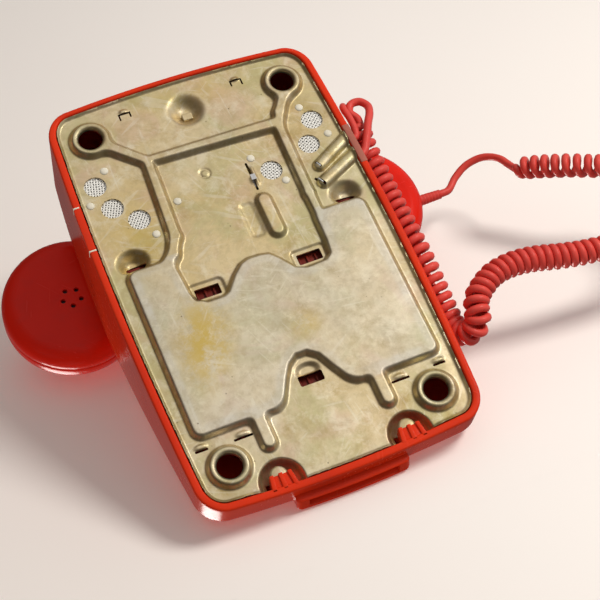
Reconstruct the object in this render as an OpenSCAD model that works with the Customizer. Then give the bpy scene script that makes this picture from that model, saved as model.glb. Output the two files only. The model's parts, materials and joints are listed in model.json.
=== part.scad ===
// Corded desk telephone with a rotary dial, a pressed steel base plate and a coiled handset cord.
// Millimetres. X to the user's right, Y to the rear, Z up. The origin is on the desk plane at the
// centre of the base; the base plate's lowest pressed surfaces touch Z = 0.

/* [Case] */
// Half of the case width at the middle of each side
half_width = 70.4; // [68:0.1:73]
// Half of the case length at the middle of the front and rear
half_length = 109.1; // [107:0.1:112]
// Height of the front wall
front_height = 20; // [18:0.5:24]
// Slope of the dial face in degrees
slope = 19; // [17:0.5:20]
// Wall thickness of the case
wall = 2.8; // [2.2:0.1:3.2]
// Height of the lower edge of the case above the desk
rim_z = 1; // [0.5:0.1:2]

/* [Base plate] */
// Sheet thickness of the base plate
sheet = 1.2; // [0.8:0.1:1.5]
// Depth of the pressed ribs below the flat of the plate
press = 3; // [2.5:0.1:3.5]
// Half of the distance between the foot holes across the phone
foot_x = 49.3; // [46:0.1:51]
// Half of the distance between the foot holes along the phone
foot_y = 88; // [84:0.1:90]
// Radius of the foot holes
foot_r = 5.7; // [4:0.1:6.5]

/* [Dial] */
// Radius of the finger wheel
wheel_r = 36; // [34:0.5:37]
// Radius of the circle the finger holes sit on
hole_ring = 27.5; // [26:0.5:28.5]
// Radius of one finger hole
finger_r = 6.3; // [5.5:0.1:6.6]

/* [Handset] */
// Distance of each cup from the middle of the phone
cup_x = 78; // [77:0.5:80]
// Position of the handset from the middle towards the rear
hand_y = 43; // [42:0.5:44]
// Height of the flat faces of the cups
cup_z = 62.5; // [62:0.5:64]
// Radius of the cups
cup_r = 35; // [33:0.5:36]

/* [Ringer] */
// Radius of the two gongs
gong_r = 27; // [24:0.5:27.5]
// Distance of each gong from the middle of the phone
gong_x = 33.5; // [33:0.5:34.5]

/* [Hidden] */
$fn = 64;

// Colours
red = [0.72, 0.1, 0.06];
dark_red = [0.5, 0.04, 0.03];
tan_metal = [0.78, 0.7, 0.52];
steel = [0.7, 0.71, 0.73];
brass = [0.8, 0.66, 0.35];
contact_metal = [0.85, 0.8, 0.6];
port_grey = [0.55, 0.53, 0.5];
mesh_grey = [0.85, 0.85, 0.83];
rivet_white = [0.92, 0.9, 0.84];
bezel_black = [0.16, 0.16, 0.17];
print_white = [0.93, 0.92, 0.88];
wheel_white = [0.88, 0.87, 0.84];
card_white = [0.95, 0.95, 0.93];
plunger_white = [0.9, 0.89, 0.86];
copper = [0.75, 0.35, 0.15];
board_brown = [0.32, 0.2, 0.1];
core_grey = [0.3, 0.3, 0.33];
foil_tan = [0.8, 0.75, 0.6];
block_black = [0.1, 0.1, 0.11];
receiver_grey = [0.75, 0.75, 0.76];
transmitter_grey = [0.7, 0.68, 0.6];
plug_cream = [0.85, 0.82, 0.74];

// Shared places
sides = [-1, 1]; // left and right
flat_z = press; // underside of the flat of the base plate
plate_top = flat_z + sheet;
collar_top = flat_z + 4;
seat_z = collar_top - sheet; // ceiling of the collar recesses
screw_y = 89.5; // case screw
snap_x = 30.5; // snap tongues
port_y = 42.5; // middle of the side openings
shelf_y = 8; // rear end of the sloping face
shelf_z = 60;
plunger_x = 35;

// Helpers: x, y and z ranges are [low, high]
function length_of(range) = range[1] - range[0];
function around(middle, half) = [middle - half, middle + half];
// range from near to far on one side of the middle
function side_range(side, near, far) = side > 0 ? [near, far] : [-far, -near];
module block(x, y, z) {
  translate([x[0], y[0], z[0]]) cube([length_of(x), length_of(y), length_of(z)]);
}
module rod(x, y, z, radius) {
  translate([x, y, z[0]]) cylinder(h = length_of(z), r = radius);
}
// round bar along X
module rod_x(x, y, z, radius) {
  translate([x[0], y, z]) rotate([0, 90, 0]) cylinder(h = length_of(x), r = radius);
}
// cylinder on the Z axis, standing at z
module disc(z, height, radius) {
  translate([0, 0, z]) cylinder(h = height, r = radius);
}
module polar(angle, ring) {
  rotate([0, 0, angle]) translate([ring, 0, 0]) children();
}
// side view, drawn in Y and Z, widened along X
module widen(half) {
  translate([-half, 0, 0]) rotate([90, 0, 90]) linear_extrude(2 * half) children();
}

// ---- Case ----
function slope_z(y) = front_height + (y + half_length) * tan(slope);
side_bow = 3.1;
end_bow = 3.9;
function end_y(x, length) = length - end_bow * pow(x / half_width, 2);
// right rear quarter of the barrel outline: bowed side, corner, bowed end
function quarter(inset) = let(
    width = half_width - inset,
    length = half_length - inset,
    corner = max(2, 13.2 - inset),
    side = [for (i = [0:8]) let(y = (length - corner - 4) * i / 8)
      [width - side_bow * pow(y / (half_length - 10), 2), y]],
    corner_x = side[8].x - corner,
    corner_y = side[8].y,
    bend = [for (angle = [11.25:11.25:78.75])
      [corner_x + corner * cos(angle),
        corner_y + (end_y(corner_x, length) - corner_y) * sin(angle)]],
    end = [for (i = [8:-1:1]) let(x = corner_x * i / 8) [x, end_y(x, length)]]
  ) concat(side, bend, end);
function barrel(inset) = let(
    part = quarter(inset),
    last = len(part) - 1,
    length = half_length - inset
  ) concat(
    part,
    [[0, length]],
    [for (i = [last:-1:1]) [-part[i].x, part[i].y]],
    [for (i = [0:last]) -part[i]],
    [[0, -length]],
    [for (i = [last:-1:1]) [part[i].x, -part[i].y]]);
module outline(inset) {
  polygon(barrel(inset));
}
// side view of the case, its top lowered by depth
module side_shape(depth) {
  drop = depth / cos(slope);
  polygon([
    [-120, -5], [-120, front_height - drop - 11 * tan(slope)],
    [shelf_y, slope_z(shelf_y) - drop],
    [shelf_y + 3, shelf_z + 1.6 - depth], [60, shelf_z + 1.6 - depth],
    [84, 56 - depth], [98, 49 - depth], [120, 36 - depth], [120, -5]]);
}

// ---- Base plate ----
// centres of the vent holes and of the rivets: x, y
vents = [[55.7, 63.6], [52.1, 49.9], [42.5, 40.1], [-54.8, 63.4], [-48, 51], [-25.3, 43.6]];
rivets = [[48.4, 70.6], [61, 54.6], [37.9, 30.1], [-52.2, 72], [-58.9, 53.3], [-18.3, 53.6],
  [-29.6, 36], [22.6, 43]];
// raised collars: x, y, radius
collars = [[0, screw_y, 9], [-53.2, 19.4, 7], [53.2, 19.4, 7]];
// slots and edge cuts: middle x, half width, front y, rear y
slots = [[-23.9, 6.1, -8.4, -2.9], [26.6, 6.1, -8.4, -2.9], [0, 5.8, -64.5, -59.6],
  [-15.2, 1.7, 35.2, 51.3]];
// the same columns, cut on both sides
paired_slots = [[snap_x, 8.3, -120, -97], [57.6, 3, -77.2, -76], [39, 4.4, -78, -76.8],
  [29, 3, 96, 97.6], [69, 6, 30, 55]];
// centre lines of the narrow ribs: x, y
ribs = [
  [[-36.4, 11], [-36.4, 25], [-37.3, 65.5], [-40.9, 71.6], [-46.4, 79.5], [-foot_x, foot_y]],
  [[39, 11], [34.6, 16.5], [30.6, 25], [28.4, 67]],
  [[-37.3, 66.6], [28.4, 67.9], [43, 81.5], [foot_x, foot_y]],
  [[-27.6, -68], [-27.6, -84]],
  [[29.3, -68], [29.3, -84]]];
through = [-1, 20];

// straight bar with round ends
module bar(start, end, radius) {
  run = end - start;
  length = norm(run);
  translate(start) rotate([0, 0, atan2(run.y, run.x)]) {
    translate([0, -radius]) square([length, 2 * radius]);
    circle(r = radius);
    translate([length, 0]) circle(r = radius);
  }
}
module rounded_rect(x, y, radius) {
  width = length_of(x);
  depth = length_of(y);
  translate([x[0] + radius, y[0]]) square([width - 2 * radius, depth]);
  translate([x[0], y[0] + radius]) square([width, depth - 2 * radius]);
  for (cx = [x[0] + radius, x[1] - radius], cy = [y[0] + radius, y[1] - radius])
    translate([cx, cy]) circle(r = radius);
}
module at_feet() {
  for (x = [-foot_x, foot_x], y = [-foot_y, foot_y]) translate([x, y]) children();
}
// pressed relief of the base plate, shrunk by t
module relief(t) {
  difference() {
    rounded_rect([-59.4 + t, 59.4 - t], [-71.3 + t, 14.6 - t], 4.4);
    // the panel between the ribs stays flat
    polygon([
      [-27.5 - t, 15], [-33.5 - t, 13.2], [-33.5 - t, -8], [-30 - t, -10.5 - t],
      [-16.5 + t, -10.5 - t], [-10.5 + t, 2.5 - t], [10.5 - t, 2.5 - t],
      [16.5 - t, -10.5 - t], [30 + t, -10.5 - t], [34.2 + t, -7], [35.6 + t, 9.6],
      [31.6 + t, 15]]);
    // the front notch
    polygon([
      [-17 - t, -72], [-9.5 - t, -56], [-5.5 - t, -50.5 + t],
      [5.5 + t, -50.5 + t], [9.5 + t, -56], [17 + t, -72]]);
  }
  for (rib = ribs, i = [0:len(rib) - 2]) bar(rib[i], rib[i + 1], 2.9 - t);
  bar([-15.4, 12.5], [-15.4, 29], 4.4 - t);
  at_feet() circle(r = 9.2 - t);
}

// pressed steel bottom with ribs, collars, vents and slots
module base_plate() color(tan_metal) difference() {
  union() {
    translate([0, 0, flat_z]) linear_extrude(sheet) outline(4.4);
    linear_extrude(plate_top) relief(0);
    for (c = collars) rod(c.x, c.y, [flat_z + 1, collar_top], c[2]);
  }
  // hollows inside the relief and the collars
  translate([0, 0, sheet]) linear_extrude(20) relief(sheet);
  for (c = collars) rod(c.x, c.y, [-1, seat_z], c[2] - sheet);
  rod(0, screw_y, [0, 20], 2.3);
  for (x = [-53.2, 53.2]) block(around(x, 4), [16, 18], [flat_z, 20]);
  at_feet() disc(-1, 21, foot_r);
  for (v = vents) rod(v.x, v.y, through, 5.3);
  for (v = rivets) rod(v.x, v.y, through, 1.25);
  for (s = slots) block(around(s[0], s[1]), [s[2], s[3]], through);
  for (side = sides, s = paired_slots)
    block(around(side * s[0], s[1]), [s[2], s[3]], through);
  // shallow pocket in the top face
  block([-8.8, -2.5], [12.2, 30.2], [flat_z + 0.7, 20]);
  // small round holes
  rod(5.4, 52.1, through, 1.2);
  for (x = [-4, 4]) rod(x, -16, through, 1.25);
}

// cradle with two pairs of ears, hollow underneath
module cradle() difference() {
  intersection() {
    widen(41) polygon([
      [10, 58.5], [13, 68], [19, 82], [25, 92], [28, 92], [29.6, 79.5], [hand_y, 77.2],
      [56.4, 79.5], [58, 92], [61, 92], [67, 82], [73, 68], [76, 57.5]]);
    union() {
      for (side = sides) block(around(side * plunger_x, 6), [8, 78], [56, 95]);
      widen(30) polygon([[10, 58.5], [14, 70], [72, 70], [76, 57.5]]);
    }
  }
  widen(26.5) polygon([[17, 50], [17, 67.2], [69, 67.2], [69, 50]]);
  for (side = sides) block(around(side * plunger_x, 3.5), [17, 69], [50, 74.2]);
  block([-38.5, 38.5], [36, 49], [50, 64.5]);
}
// moulded case with the dial opening, the cradle and the front snap tongues
module housing() color(red) difference() {
  union() {
    difference() {
      intersection() {
        translate([0, 0, rim_z]) linear_extrude(80) outline(0);
        widen(90) side_shape(0);
      }
      intersection() {
        translate([0, 0, -1]) linear_extrude(90) outline(wall + 0.5);
        widen(90) side_shape(wall);
      }
    }
    cradle();
    // boss for the case screw
    rod(0, screw_y, [flat_z + 4.4, 51], 4.5);
    // snap tongues with two notches each
    for (x = [-snap_x, snap_x]) difference() {
      block(around(x, 5.8), [-107, -98.5], [rim_z, rim_z + 8]);
      for (side = sides) block(around(x + side * 2.9, 1.8), [-105.4, -95], [0, rim_z + 3]);
    }
  }
  // dial opening
  at_dial() cylinder(h = 20, r = 38.2, center = true);
  // bore of the case screw
  rod(0, screw_y, [0, 22], 1.6);
  for (side = sides) {
    // plunger hole and side opening
    rod(side * plunger_x, hand_y, [50, 90], 2.6);
    block(side_range(side, 60, 75), around(port_y, 11.5), [-1, 8.2]);
  }
  // slot for the front grip
  block([-24, 24], [-112, -104], [11.4, 13.6]);
  // finger stop screw
  at_dial() polar(stop_angle, stop_ring) disc(-6, 8, 0.9);
}

// carrying lip along the front edge of the case
module front_grip() color(dark_red) difference() {
  union() {
    intersection() {
      block([-27, 27], [-114.5, -109.15], [9.4, 15.6]);
      // bows the front face
      translate([0, 330, 6]) cylinder(h = 12, r = 444.5, $fn = 720);
    }
    block([-23.9, 23.9], [-110, -104.2], [11.5, 13.5]);
  }
  block([-21.5, 21.5], [-118, -111.2], [10.5, 14.3]);
}

// insert of a side opening; children are cut out of it
module port_insert(side) difference() {
  intersection() {
    block(side_range(side, 63.5, 75), around(port_y, 11.4), [rim_z, 8.1]);
    linear_extrude(20) outline(0);
  }
  intersection() {
    block(side_range(side, 60, 66.2), [33, 52], [-1, 6.4]);
  }
  children();
}
// closed insert of the right opening
module side_blank() color(red) port_insert(1);
// left insert with the two cord openings
module cord_port() color(port_grey) port_insert(-1) {
  for (y = around(port_y, 5)) rod_x([-75, -55], y, 4.6, 2.2);
}

// slotted discs on top of the vent holes
module vent_mesh() color(mesh_grey) for (v = vents) translate([v.x, v.y, plate_top])
  difference() {
    cylinder(h = 0.5, r = 6.6);
    for (i = [-3:3]) block(around(i * 1.5, 0.4), [-4.6, 4.6], [-1, 2]);
  }
// plastic rivets: lower head, shank and upper head
module mesh_rivets() color(rivet_white) for (v = rivets) {
  rod(v.x, v.y, [flat_z - 0.7, flat_z], 2.1);
  rod(v.x, v.y, [flat_z, plate_top + 0.6], 1.2);
  rod(v.x, v.y, [plate_top, plate_top + 0.6], 1.8);
}
// screw that holds case and base plate together at the rear
module case_screw() color(steel) difference() {
  union() {
    rod(0, screw_y, [flat_z + 0.4, seat_z], 3.6);
    rod(0, screw_y, [flat_z + 2.7, 21.5], 1.6);
  }
  block([-4, 4], around(screw_y, 0.4), [0, flat_z + 1.2]);
}

// ---- Dial, built around its own axis on the sloping face ----
dial_y = -50;
stop_angle = -62;
stop_ring = 40.6; // radius of the finger stop screw
pillar_angles = [90, 210, 330];
pillar_ring = 20;
governor_angle = 35;
governor_ring = 15.4;

module at_dial() {
  translate([0, dial_y, slope_z(dial_y)]) rotate([slope, 0, 0]) children();
}
module at_governor() {
  at_dial() polar(governor_angle, governor_ring) children();
}
// fixed ring around the dial
module dial_bezel() color(bezel_black) at_dial() difference() {
  union() {
    cylinder(h = 2.4, r = 41.5);
    disc(-5, 6, 38);
  }
  disc(-6, 12, 36.8);
  polar(stop_angle, stop_ring) disc(-6, 12, 0.95);
}
// printed disc under the finger wheel
module number_plate() color(print_white) at_dial() difference() {
  disc(-3, 1.2, 36.7);
  disc(-6, 12, 4.2);
  for (angle = pillar_angles) polar(angle, pillar_ring) disc(-6, 12, 1.3);
}
// turning wheel with ten finger holes and a recess for the cap
module finger_wheel() color(wheel_white) at_dial() difference() {
  union() {
    disc(-0.6, 2.2, wheel_r);
    disc(-1.6, 2, 9);
  }
  for (i = [0:9]) polar(60 + i * 30, hole_ring) disc(-3, 8, finger_r);
  disc(0.4, 4, 15.6);
  disc(-4, 8, 2);
}
// name card disc with its clear cover in the middle of the wheel
module dial_cap() color(card_white) at_dial() {
  disc(0.4, 0.8, 15.4);
  disc(0.4, 2.2, 13.6);
}
// stop that ends the stroke of the finger, with its screw
module finger_stop() color(steel) at_dial() {
  rotate([0, 0, stop_angle]) {
    block([35.6, 43.6], [-2.2, 2.2], [2.4, 3.6]);
    block([20.6, 35.8], [-1.5, 1.5], [2.4, 3.6]);
  }
  polar(stop_angle, stop_ring) {
    disc(-5.5, 8.5, 0.9);
    disc(3.5, 0.8, 1.8);
  }
}
// two plates joined by pillars that carry the dial movement
module dial_frame() color(steel) at_dial() difference() {
  union() {
    disc(-5.2, 2.2, 34);
    for (angle = pillar_angles) polar(angle, pillar_ring) {
      disc(-3.1, 1.3, 1.2);
      disc(-17.9, 12.8, 2.4);
    }
    // lugs at the edge, trimmed at the outer end
    for (angle = [150, 270, 30]) rotate([0, 0, angle]) difference() {
      block([28, 39.5], [-5, 5], [-5.2, -3.2]);
      block([36.3, 45.3], [-8, 8], [-6.2, -0.2]);
    }
    disc(-20, 2.2, 23);
    // outer rim
    difference() {
      disc(-5.3, 2.2, 36.6);
      disc(-6.3, 5, 33);
    }
  }
  disc(-30, 40, 2.05);
  polar(governor_angle, governor_ring) disc(-30, 40, 1.05);
}
// shaft of the finger wheel
module dial_shaft() color(steel) at_dial() disc(-21.5, 21.9, 2);

// toothed disc; the teeth are root_half and tip_half wide to each side
module gear_profile(teeth, radius, root_half, tip_half) union() {
  root = radius - 0.2;
  tip = radius + 1;
  circle(r = radius);
  for (i = [0:teeth - 1]) rotate([0, 0, i * 360 / teeth])
    polygon([[root, -root_half], [tip, -tip_half], [tip, tip_half], [root, root_half]]);
}
// large wheel of the movement with five round openings
module dial_gear() color(brass) at_dial() difference() {
  translate([0, 0, -9.4]) linear_extrude(1.6) gear_profile(36, 12.1, 0.48, 0.18);
  disc(-20, 30, 2);
  for (angle = [0:72:288]) polar(angle, 7.4) disc(-12, 8, 2.2);
}
// small wheel and the governor spindle
module pinion() color(brass) at_governor() {
  translate([0, 0, -9.6]) linear_extrude(2) gear_profile(6, 1.9, 0.3, 0.12);
  disc(-20.6, 17, 1);
}
// flyweights that hold the return speed constant
module governor() color(brass) at_governor() difference() {
  union() {
    disc(-16.5, 5, 2.2);
    block([-4.6, 4.6], [-1, 1], [-15.5, -12.5]);
    for (side = sides) translate([side * 4.2, 0, -15.9]) cylinder(h = 3.8, r = 1.5);
  }
  disc(-20, 20, 1);
}
// return spring as a plain ring
module dial_spring() color(steel) at_dial() difference() {
  disc(-13.6, 3.4, 8);
  disc(-14.6, 6, 6.8);
}
// block with four contact springs beside the movement
module pulse_contacts() color(contact_metal) at_dial() rotate([0, 0, -60]) {
  block([-18, -11], [-12, -5], [-17.8, -9.8]);
  for (i = [0:3]) {
    blade = [-17.4 + i * 1.6, -17 + i * 1.6];
    block(blade, [-6, 7], [-15.8, -12.8]);
    block(blade, [-7, -3], [-14.8, -13.8]);
  }
}

// ---- Hook switch ----
pivot_y = 21.5;
pivot_z = 51.4;

// two plungers pressed down by the resting handset
module plungers() color(plunger_white) for (side = sides) {
  rod(side * plunger_x, hand_y, [53.4, 80.1], 2.5);
  rod(side * plunger_x, hand_y, [64, 65.5], 3.1);
}
// rocking lever under the plungers
module hook_lever() color(steel) difference() {
  union() {
    block([-37.5, 37.5], [40.5, 45.5], [51.6, 53]);
    block([-9, 9], [22, 45.5], [51.6, 53]);
    rod_x([-9, 9], pivot_y, pivot_z, 2.4);
    block([-1.5, 1.5], [26, 28], [47.8, 51.8]);
  }
  rod_x([-20, 20], pivot_y, pivot_z, 1.26);
}
// bracket and pivot pin of the hook lever, under the cradle
module hook_bracket() color(steel) {
  bracket_y = around(pivot_y, 4);
  for (side = sides) block(side_range(side, 10, 11.2), bracket_y, [47.9, 58.7]);
  block([-11.2, 11.2], bracket_y, [57.6, 58.7]);
  rod_x([-12, 12], pivot_y, pivot_z, 1.2);
}
// contact block with four blades, each starting slightly above the last
module hook_spring() color(contact_metal) {
  block([-4.5, 4.5], [28.6, 34], [34.4, 47]);
  for (i = [0:3])
    block([-3.9 + i * 2.2, -2.9 + i * 2.2], [24.6, 30], [38.4 + i * 0.01, 38.9]);
}

// ---- Ringer ----
gong_y = 62;
clapper_y = 30; // pivot of the clapper
frame_z = 8.6; // underside of the ringer frame

// sheet frame of the ringer with its posts
module ringer_frame() color(steel) difference() {
  union() {
    block([-30, 30], [33, 36], [frame_z, 17.4]);
    block([-9.5, 9.5], [2, 36], [frame_z, 10.2]);
    for (side = sides) {
      block(around(side * gong_x, 4), [33, 68], [frame_z, 10.2]);
      rod(side * gong_x, gong_y, [10.1, 17.8], 3);
    }
    for (foot = [[-21, 34], [24, 34], [0, 5]])
      rod(foot.x, foot.y, [plate_top, frame_z + 0.1], 2.4);
    rod(0, clapper_y, [10.1, 27], 1.2);
  }
  block([-7, 7], [32, 40], [12, 30]);
  for (side = sides) rod(side * gong_x, gong_y, [0, 22], 1.5);
}
// two equal bell gongs; profile: radius, height
module gongs() color(brass) for (side = sides) translate([side * gong_x, gong_y, 18])
  rotate_extrude() polygon([
    [1.6, 9], [1.6, 10.2], [9, 10.2], [19, 8.4], [gong_r - 3.4, 5], [gong_r - 0.4, 0],
    [gong_r - 1.8, 0], [gong_r - 4.6, 4.2], [18.6, 7.2], [9, 9]]);
// slotted screws on the gong posts, with a collar below the gong
module gong_screws() color(steel) for (x = [-gong_x, gong_x]) difference() {
  union() {
    rod(x, gong_y, [11, 28.2], 1.45);
    rod(x, gong_y, [28.25, 30.6], 3.4);
    rod(x, gong_y, [18, 26.9], 3);
    // joins shank and head
    rod(x, gong_y, [28.1, 28.3], 1.45);
  }
  block(around(x, 4), around(gong_y, 0.4), [29.8, 32]);
}
// electromagnet of the ringer: two windings between two end plates
module ringer_coil() color(copper) {
  for (side = sides)
    translate([side * 5, 3, 17.4]) rotate([-90, 0, 0]) cylinder(h = 16, r = 4.6);
  for (y = [3.5, 17.6]) block([-9.4, 9.4], [y, y + 1.2], [10.3, 22]);
}
// armature arm with the striker ball
module clapper() color(steel) difference() {
  union() {
    rod(0, clapper_y, [21.2, 26.6], 2.8);
    block([-8, 8], [20.6, 22.6], [21.4, 24.8]);
    block([-1.5, 1.5], [22, 30], [21.4, 24.6]);
    block([-0.8, 0.8], [31, 58], [22.6, 24.2]);
    translate([0, 60, 22.6]) sphere(r = 3.4, $fn = 40);
  }
  rod(0, clapper_y, [0, 40], 1.25);
}
// sliding ringer lever, reached through the slot of the base plate
module volume_lever() color(steel) {
  block([-17.9, -11], [38.5, 44.5], [4.35, 5.35]);
  block([-16.4, -14], [40.5, 43.5], [0.8, 4.4]);
  block([-17.9, -16.5], [38.5, 57], [5.3, 7.6]);
}

// ---- Circuit ----
board_top = 12.6;
// stand-offs of the board: x, y, foot height
standoffs = [[19, 12, plate_top], [54.5, -8, sheet], [19, 25, plate_top], [46, 26, plate_top]];
terminal_x = [-55:6:-25];
terminal_y = 2.5;

// printed circuit board with its stand-offs
module circuit_board() color(board_brown) difference() {
  union() {
    block([14, 60], [-14, 29], [11, board_top]);
    for (post = standoffs) rod(post.x, post.y, [post[2], 11.1], 2.2);
  }
  for (hole = [[17, -11], [57.5, 26.5]]) rod(hole.x, hole.y, [10, 14], 1.2);
}
// speech transformer
module induction_coil() color(core_grey) {
  block([20, 40], [-10, 8], [board_top, 28]);
  block([17, 43], [-6, 4], [15, 25.4]);
}
// bell capacitor
module capacitor() color(foil_tan) block([45, 57], [-10, 20], [board_top, 25]);
// terminal block on two posts
module terminal_block() color(block_black) difference() {
  union() {
    block([-58, -22], [-4, 9], [8, 18]);
    rod(-54, terminal_y, [sheet, 8.1], 2.4);
    rod(-26, terminal_y, [plate_top, 8.1], 2.4);
  }
  for (x = terminal_x) rod(x, terminal_y, [12, 20], 1.3);
}
module terminal_screws() color(brass) for (x = terminal_x) {
  rod(x, terminal_y, [12.2, 18.05], 1.25);
  rod(x, terminal_y, [18, 19.4], 2.2);
}

// ---- Handset: mouthpiece on the left, receiver on the right ----
entry_y = hand_y - 3; // where the cord enters
entry_z = 79;
face_holes = [50, 75]; // height range of the cuts through the cap faces

module cup_at(side) {
  translate([side * cup_x, hand_y, 0]) children();
}
// cross-section of the handle
module handle_shape() union() {
  translate([-7, -13]) square([14, 26]);
  translate([-11, -9]) square([22, 18]);
  for (x = [-7, 7], y = [-9, 9]) translate([x, y]) circle(r = 4);
}
// arched handle and the upper part of both cups
module handset_body() color(dark_red) difference() {
  union() {
    for (side = sides) cup_at(side) rotate_extrude() union() {
      translate([0, cup_z + 9.6]) square([cup_r - 8, 16]);
      translate([0, cup_z + 9.6]) square([cup_r, 8]);
      translate([cup_r - 8, cup_z + 17.6]) intersection() {
        circle(r = 8);
        square(10);
      }
    }
    intersection() {
      translate([0, hand_y, -38.5]) rotate([90, 0, 0]) rotate([0, 0, 60])
        rotate_extrude(angle = 60, $fn = 160) translate([135.6, 0]) handle_shape();
      block([-cup_x, cup_x], [0, 90], [70, 120]);
    }
  }
  for (side = sides) cup_at(side) {
    disc(cup_z + 5, 16, 27);
    disc(cup_z + 8, 5.6, 31.2);
  }
  rod_x([-118, -98], entry_y, entry_z, 3.05);
}
module cap_shape(side) cup_at(side) rotate_extrude() difference() {
  union() {
    translate([0, cup_z]) square([cup_r - 5, 9.5]);
    translate([0, cup_z + 5]) square([cup_r, 4.5]);
    // rounded edge
    translate([cup_r - 5, cup_z + 5]) intersection() {
      circle(r = 5);
      translate([0, -6]) square([6, 6]);
    }
    translate([0, cup_z + 9]) square([31, 4.4]);
  }
  translate([-1, cup_z + 2.5]) square([29, 20]);
}
// ring and face of the receiver, with five holes
module receiver_cap() color(dark_red) difference() {
  cap_shape(1);
  for (i = [0:4]) cup_at(1) polar(90 + i * 72, 4.6) rod(0, 0, face_holes, 1.25);
}
// ring and face of the mouthpiece, with six holes around a middle one
module mouthpiece_cap() color(dark_red) difference() {
  cap_shape(-1);
  for (i = [0:5]) cup_at(-1) polar(i * 60, 9) rod(0, 0, face_holes, 1.25);
  cup_at(-1) rod(0, 0, face_holes, 1.25);
}
module receiver_capsule() color(receiver_grey) cup_at(1) {
  disc(cup_z + 2.6, 6, 26.5);
  disc(cup_z + 8.5, 6, 17);
}
module transmitter_capsule() color(transmitter_grey) cup_at(-1) {
  disc(cup_z + 2.6, 5, 26.5);
  disc(cup_z + 7.5, 8, 20);
}
// bend relief where the cord enters the handset
module cord_sleeve() color(red) difference() {
  translate([-127, entry_y, entry_z]) rotate([0, 90, 0]) union() {
    cylinder(h = 16.5, r1 = 2.7, r2 = 3);
    disc(14.4, 12, 3);
  }
  rod_x([-140, -80], entry_y, entry_z, 2);
}

// ---- Cords; every path lists x, y, z ----
facets = 16; // around a cord
plug_place = [-214, -76, 6];
coil_path = [
  [-77.6, 56.5, 11], [-76.3, 48, 12.5], [-76.6, 38, 14.8], [-77, 25, 16], [-77.1, 10, 16],
  [-77.1, -8, 16], [-77.1, -22, 16.2], [-77.1, -36, 17.5], [-77.1, -48, 19.2],
  [-77.1, -56, 19.6], [-78.5, -61.3, 17.9], [-81.9, -63.5, 13.9], [-85.3, -61.2, 9.8],
  [-86.7, -56, 8], [-89.2, -51.4, 7.1], [-94.2, -47.2, 7], [-101.6, -43.2, 7],
  [-111.4, -41.6, 7], [-122.7, -42.5, 7], [-136, -45.8, 7], [-151, -48.5, 7], [-180, -51, 7],
  [-204, -43, 8.5], [-216, -26, 13], [-214, -9, 20], [-205, -1, 25], [-195.7, 0, 28],
  [-189.5, 5, 33], [-181.3, 12.4, 39], [-170.8, 21.6, 48], [-165.4, 26, 53],
  [-161.6, 28.4, 56.6]];
// from the case to the coil
case_lead = [
  [-63.2, 37.5, 4.6], [-67, 37.5, 4.6], [-71.2, 37.5, 4.6], [-75, 39.5, 3.6], [-78.6, 45, 3],
  [-81, 52, 3.4], [-82.4, 59, 5.6], [-81.4, 63.6, 8.6], [-78.4, 62.6, 10.8],
  [-77.6, 58.5, 11], coil_path[0]];
// from the coil to the mouthpiece
handset_lead = [
  coil_path[len(coil_path) - 1], [-162.8, 35, 62], [-161.3, 43.5, 67], [-155.5, 49.2, 71.6],
  [-147, 49.8, 75.6], [-139, 46, 78.3], [-133, 40.9, 79], [-128, 40, 79], [-116, 40, 79],
  [-104, 40, 79]];
line_path = [
  [-63.2, 47.5, 4.6], [-67, 47.5, 4.6], [-71.2, 47.5, 4.6], [-72.6, 51.5, 4.2],
  [-73, 58, 4.6], [-73.4, 66, 7.5], [-76, 70.5, 13], [-79, 68, 19], [-79.4, 60, 20.6],
  [-78.4, 48, 21], [-78.6, 38, 22.8], [-79, 25, 24.2], [-79.1, 10, 24.3], [-79.1, -6, 24.3],
  [-79.1, -19, 24.6], [-79.1, -33, 25.8], [-79.2, -45, 27.3], [-80.4, -54, 28],
  [-84.5, -59, 25.2], [-90, -57, 21], [-95, -51.5, 17.4], [-100.5, -45.4, 15.6],
  [-109, -41.4, 15.3], [-122, -41, 15.3], [-136, -43.5, 15.3], [-151, -46, 15.3],
  [-180, -49, 15.9], [-194, -60, 13], [-205, -70, 8.5], plug_place];

// Catmull-Rom curve through the points, with a number of steps between two of them
function smooth_path(points, steps) = let(last = len(points) - 1) concat(
  [for (i = [0:last - 1], k = [0:steps - 1]) let(
      t = k / steps,
      a = points[max(i - 1, 0)],
      b = points[i],
      c = points[i + 1],
      d = points[min(i + 2, last)])
    0.5 * (2 * b + (c - a) * t + (2 * a - 5 * b + 4 * c - d) * t * t
      + (3 * b - a - 3 * c + d) * t * t * t)],
  [points[last]]);
// round tube swept along the smooth curve
module cord(points, radius, steps) {
  path = smooth_path(points, steps);
  last = len(path) - 1;
  rings = [for (i = [0:last]) let(
      chord = path[min(i + 1, last)] - path[max(i - 1, 0)],
      along = chord / norm(chord),
      level = cross(along, [0, 0, 1]),
      across = level / norm(level),
      upright = cross(across, along))
    for (k = [0:facets - 1]) let(angle = k * 360 / facets)
      path[i] + radius * (cos(angle) * across + sin(angle) * upright)];
  // neighbouring points of each ring, as index pairs
  edges = [for (i = [0:last - 1], k = [0:facets - 1])
    [i * facets + k, i * facets + (k + 1) % facets]];
  polyhedron(rings, concat(
    [[for (k = [facets - 1:-1:0]) k]],
    [for (e = edges) [e[0], e[1], e[1] + facets]],
    [for (e = edges) [e[0], e[1] + facets, e[0] + facets]],
    [[for (k = [0:facets - 1]) last * facets + k]]), convexity = 10);
}
// cord between the case and the mouthpiece; the coil is a thick smooth tube
module coil_cord() color(red) {
  cord(case_lead, radius = 1.9, steps = 3);
  cord(coil_path, radius = 6.3, steps = 3);
  cord(handset_lead, radius = 1.9, steps = 4);
}
// cord to the wall socket
module line_cord() color(red) cord(line_path, radius = 1.7, steps = 3);
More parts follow.
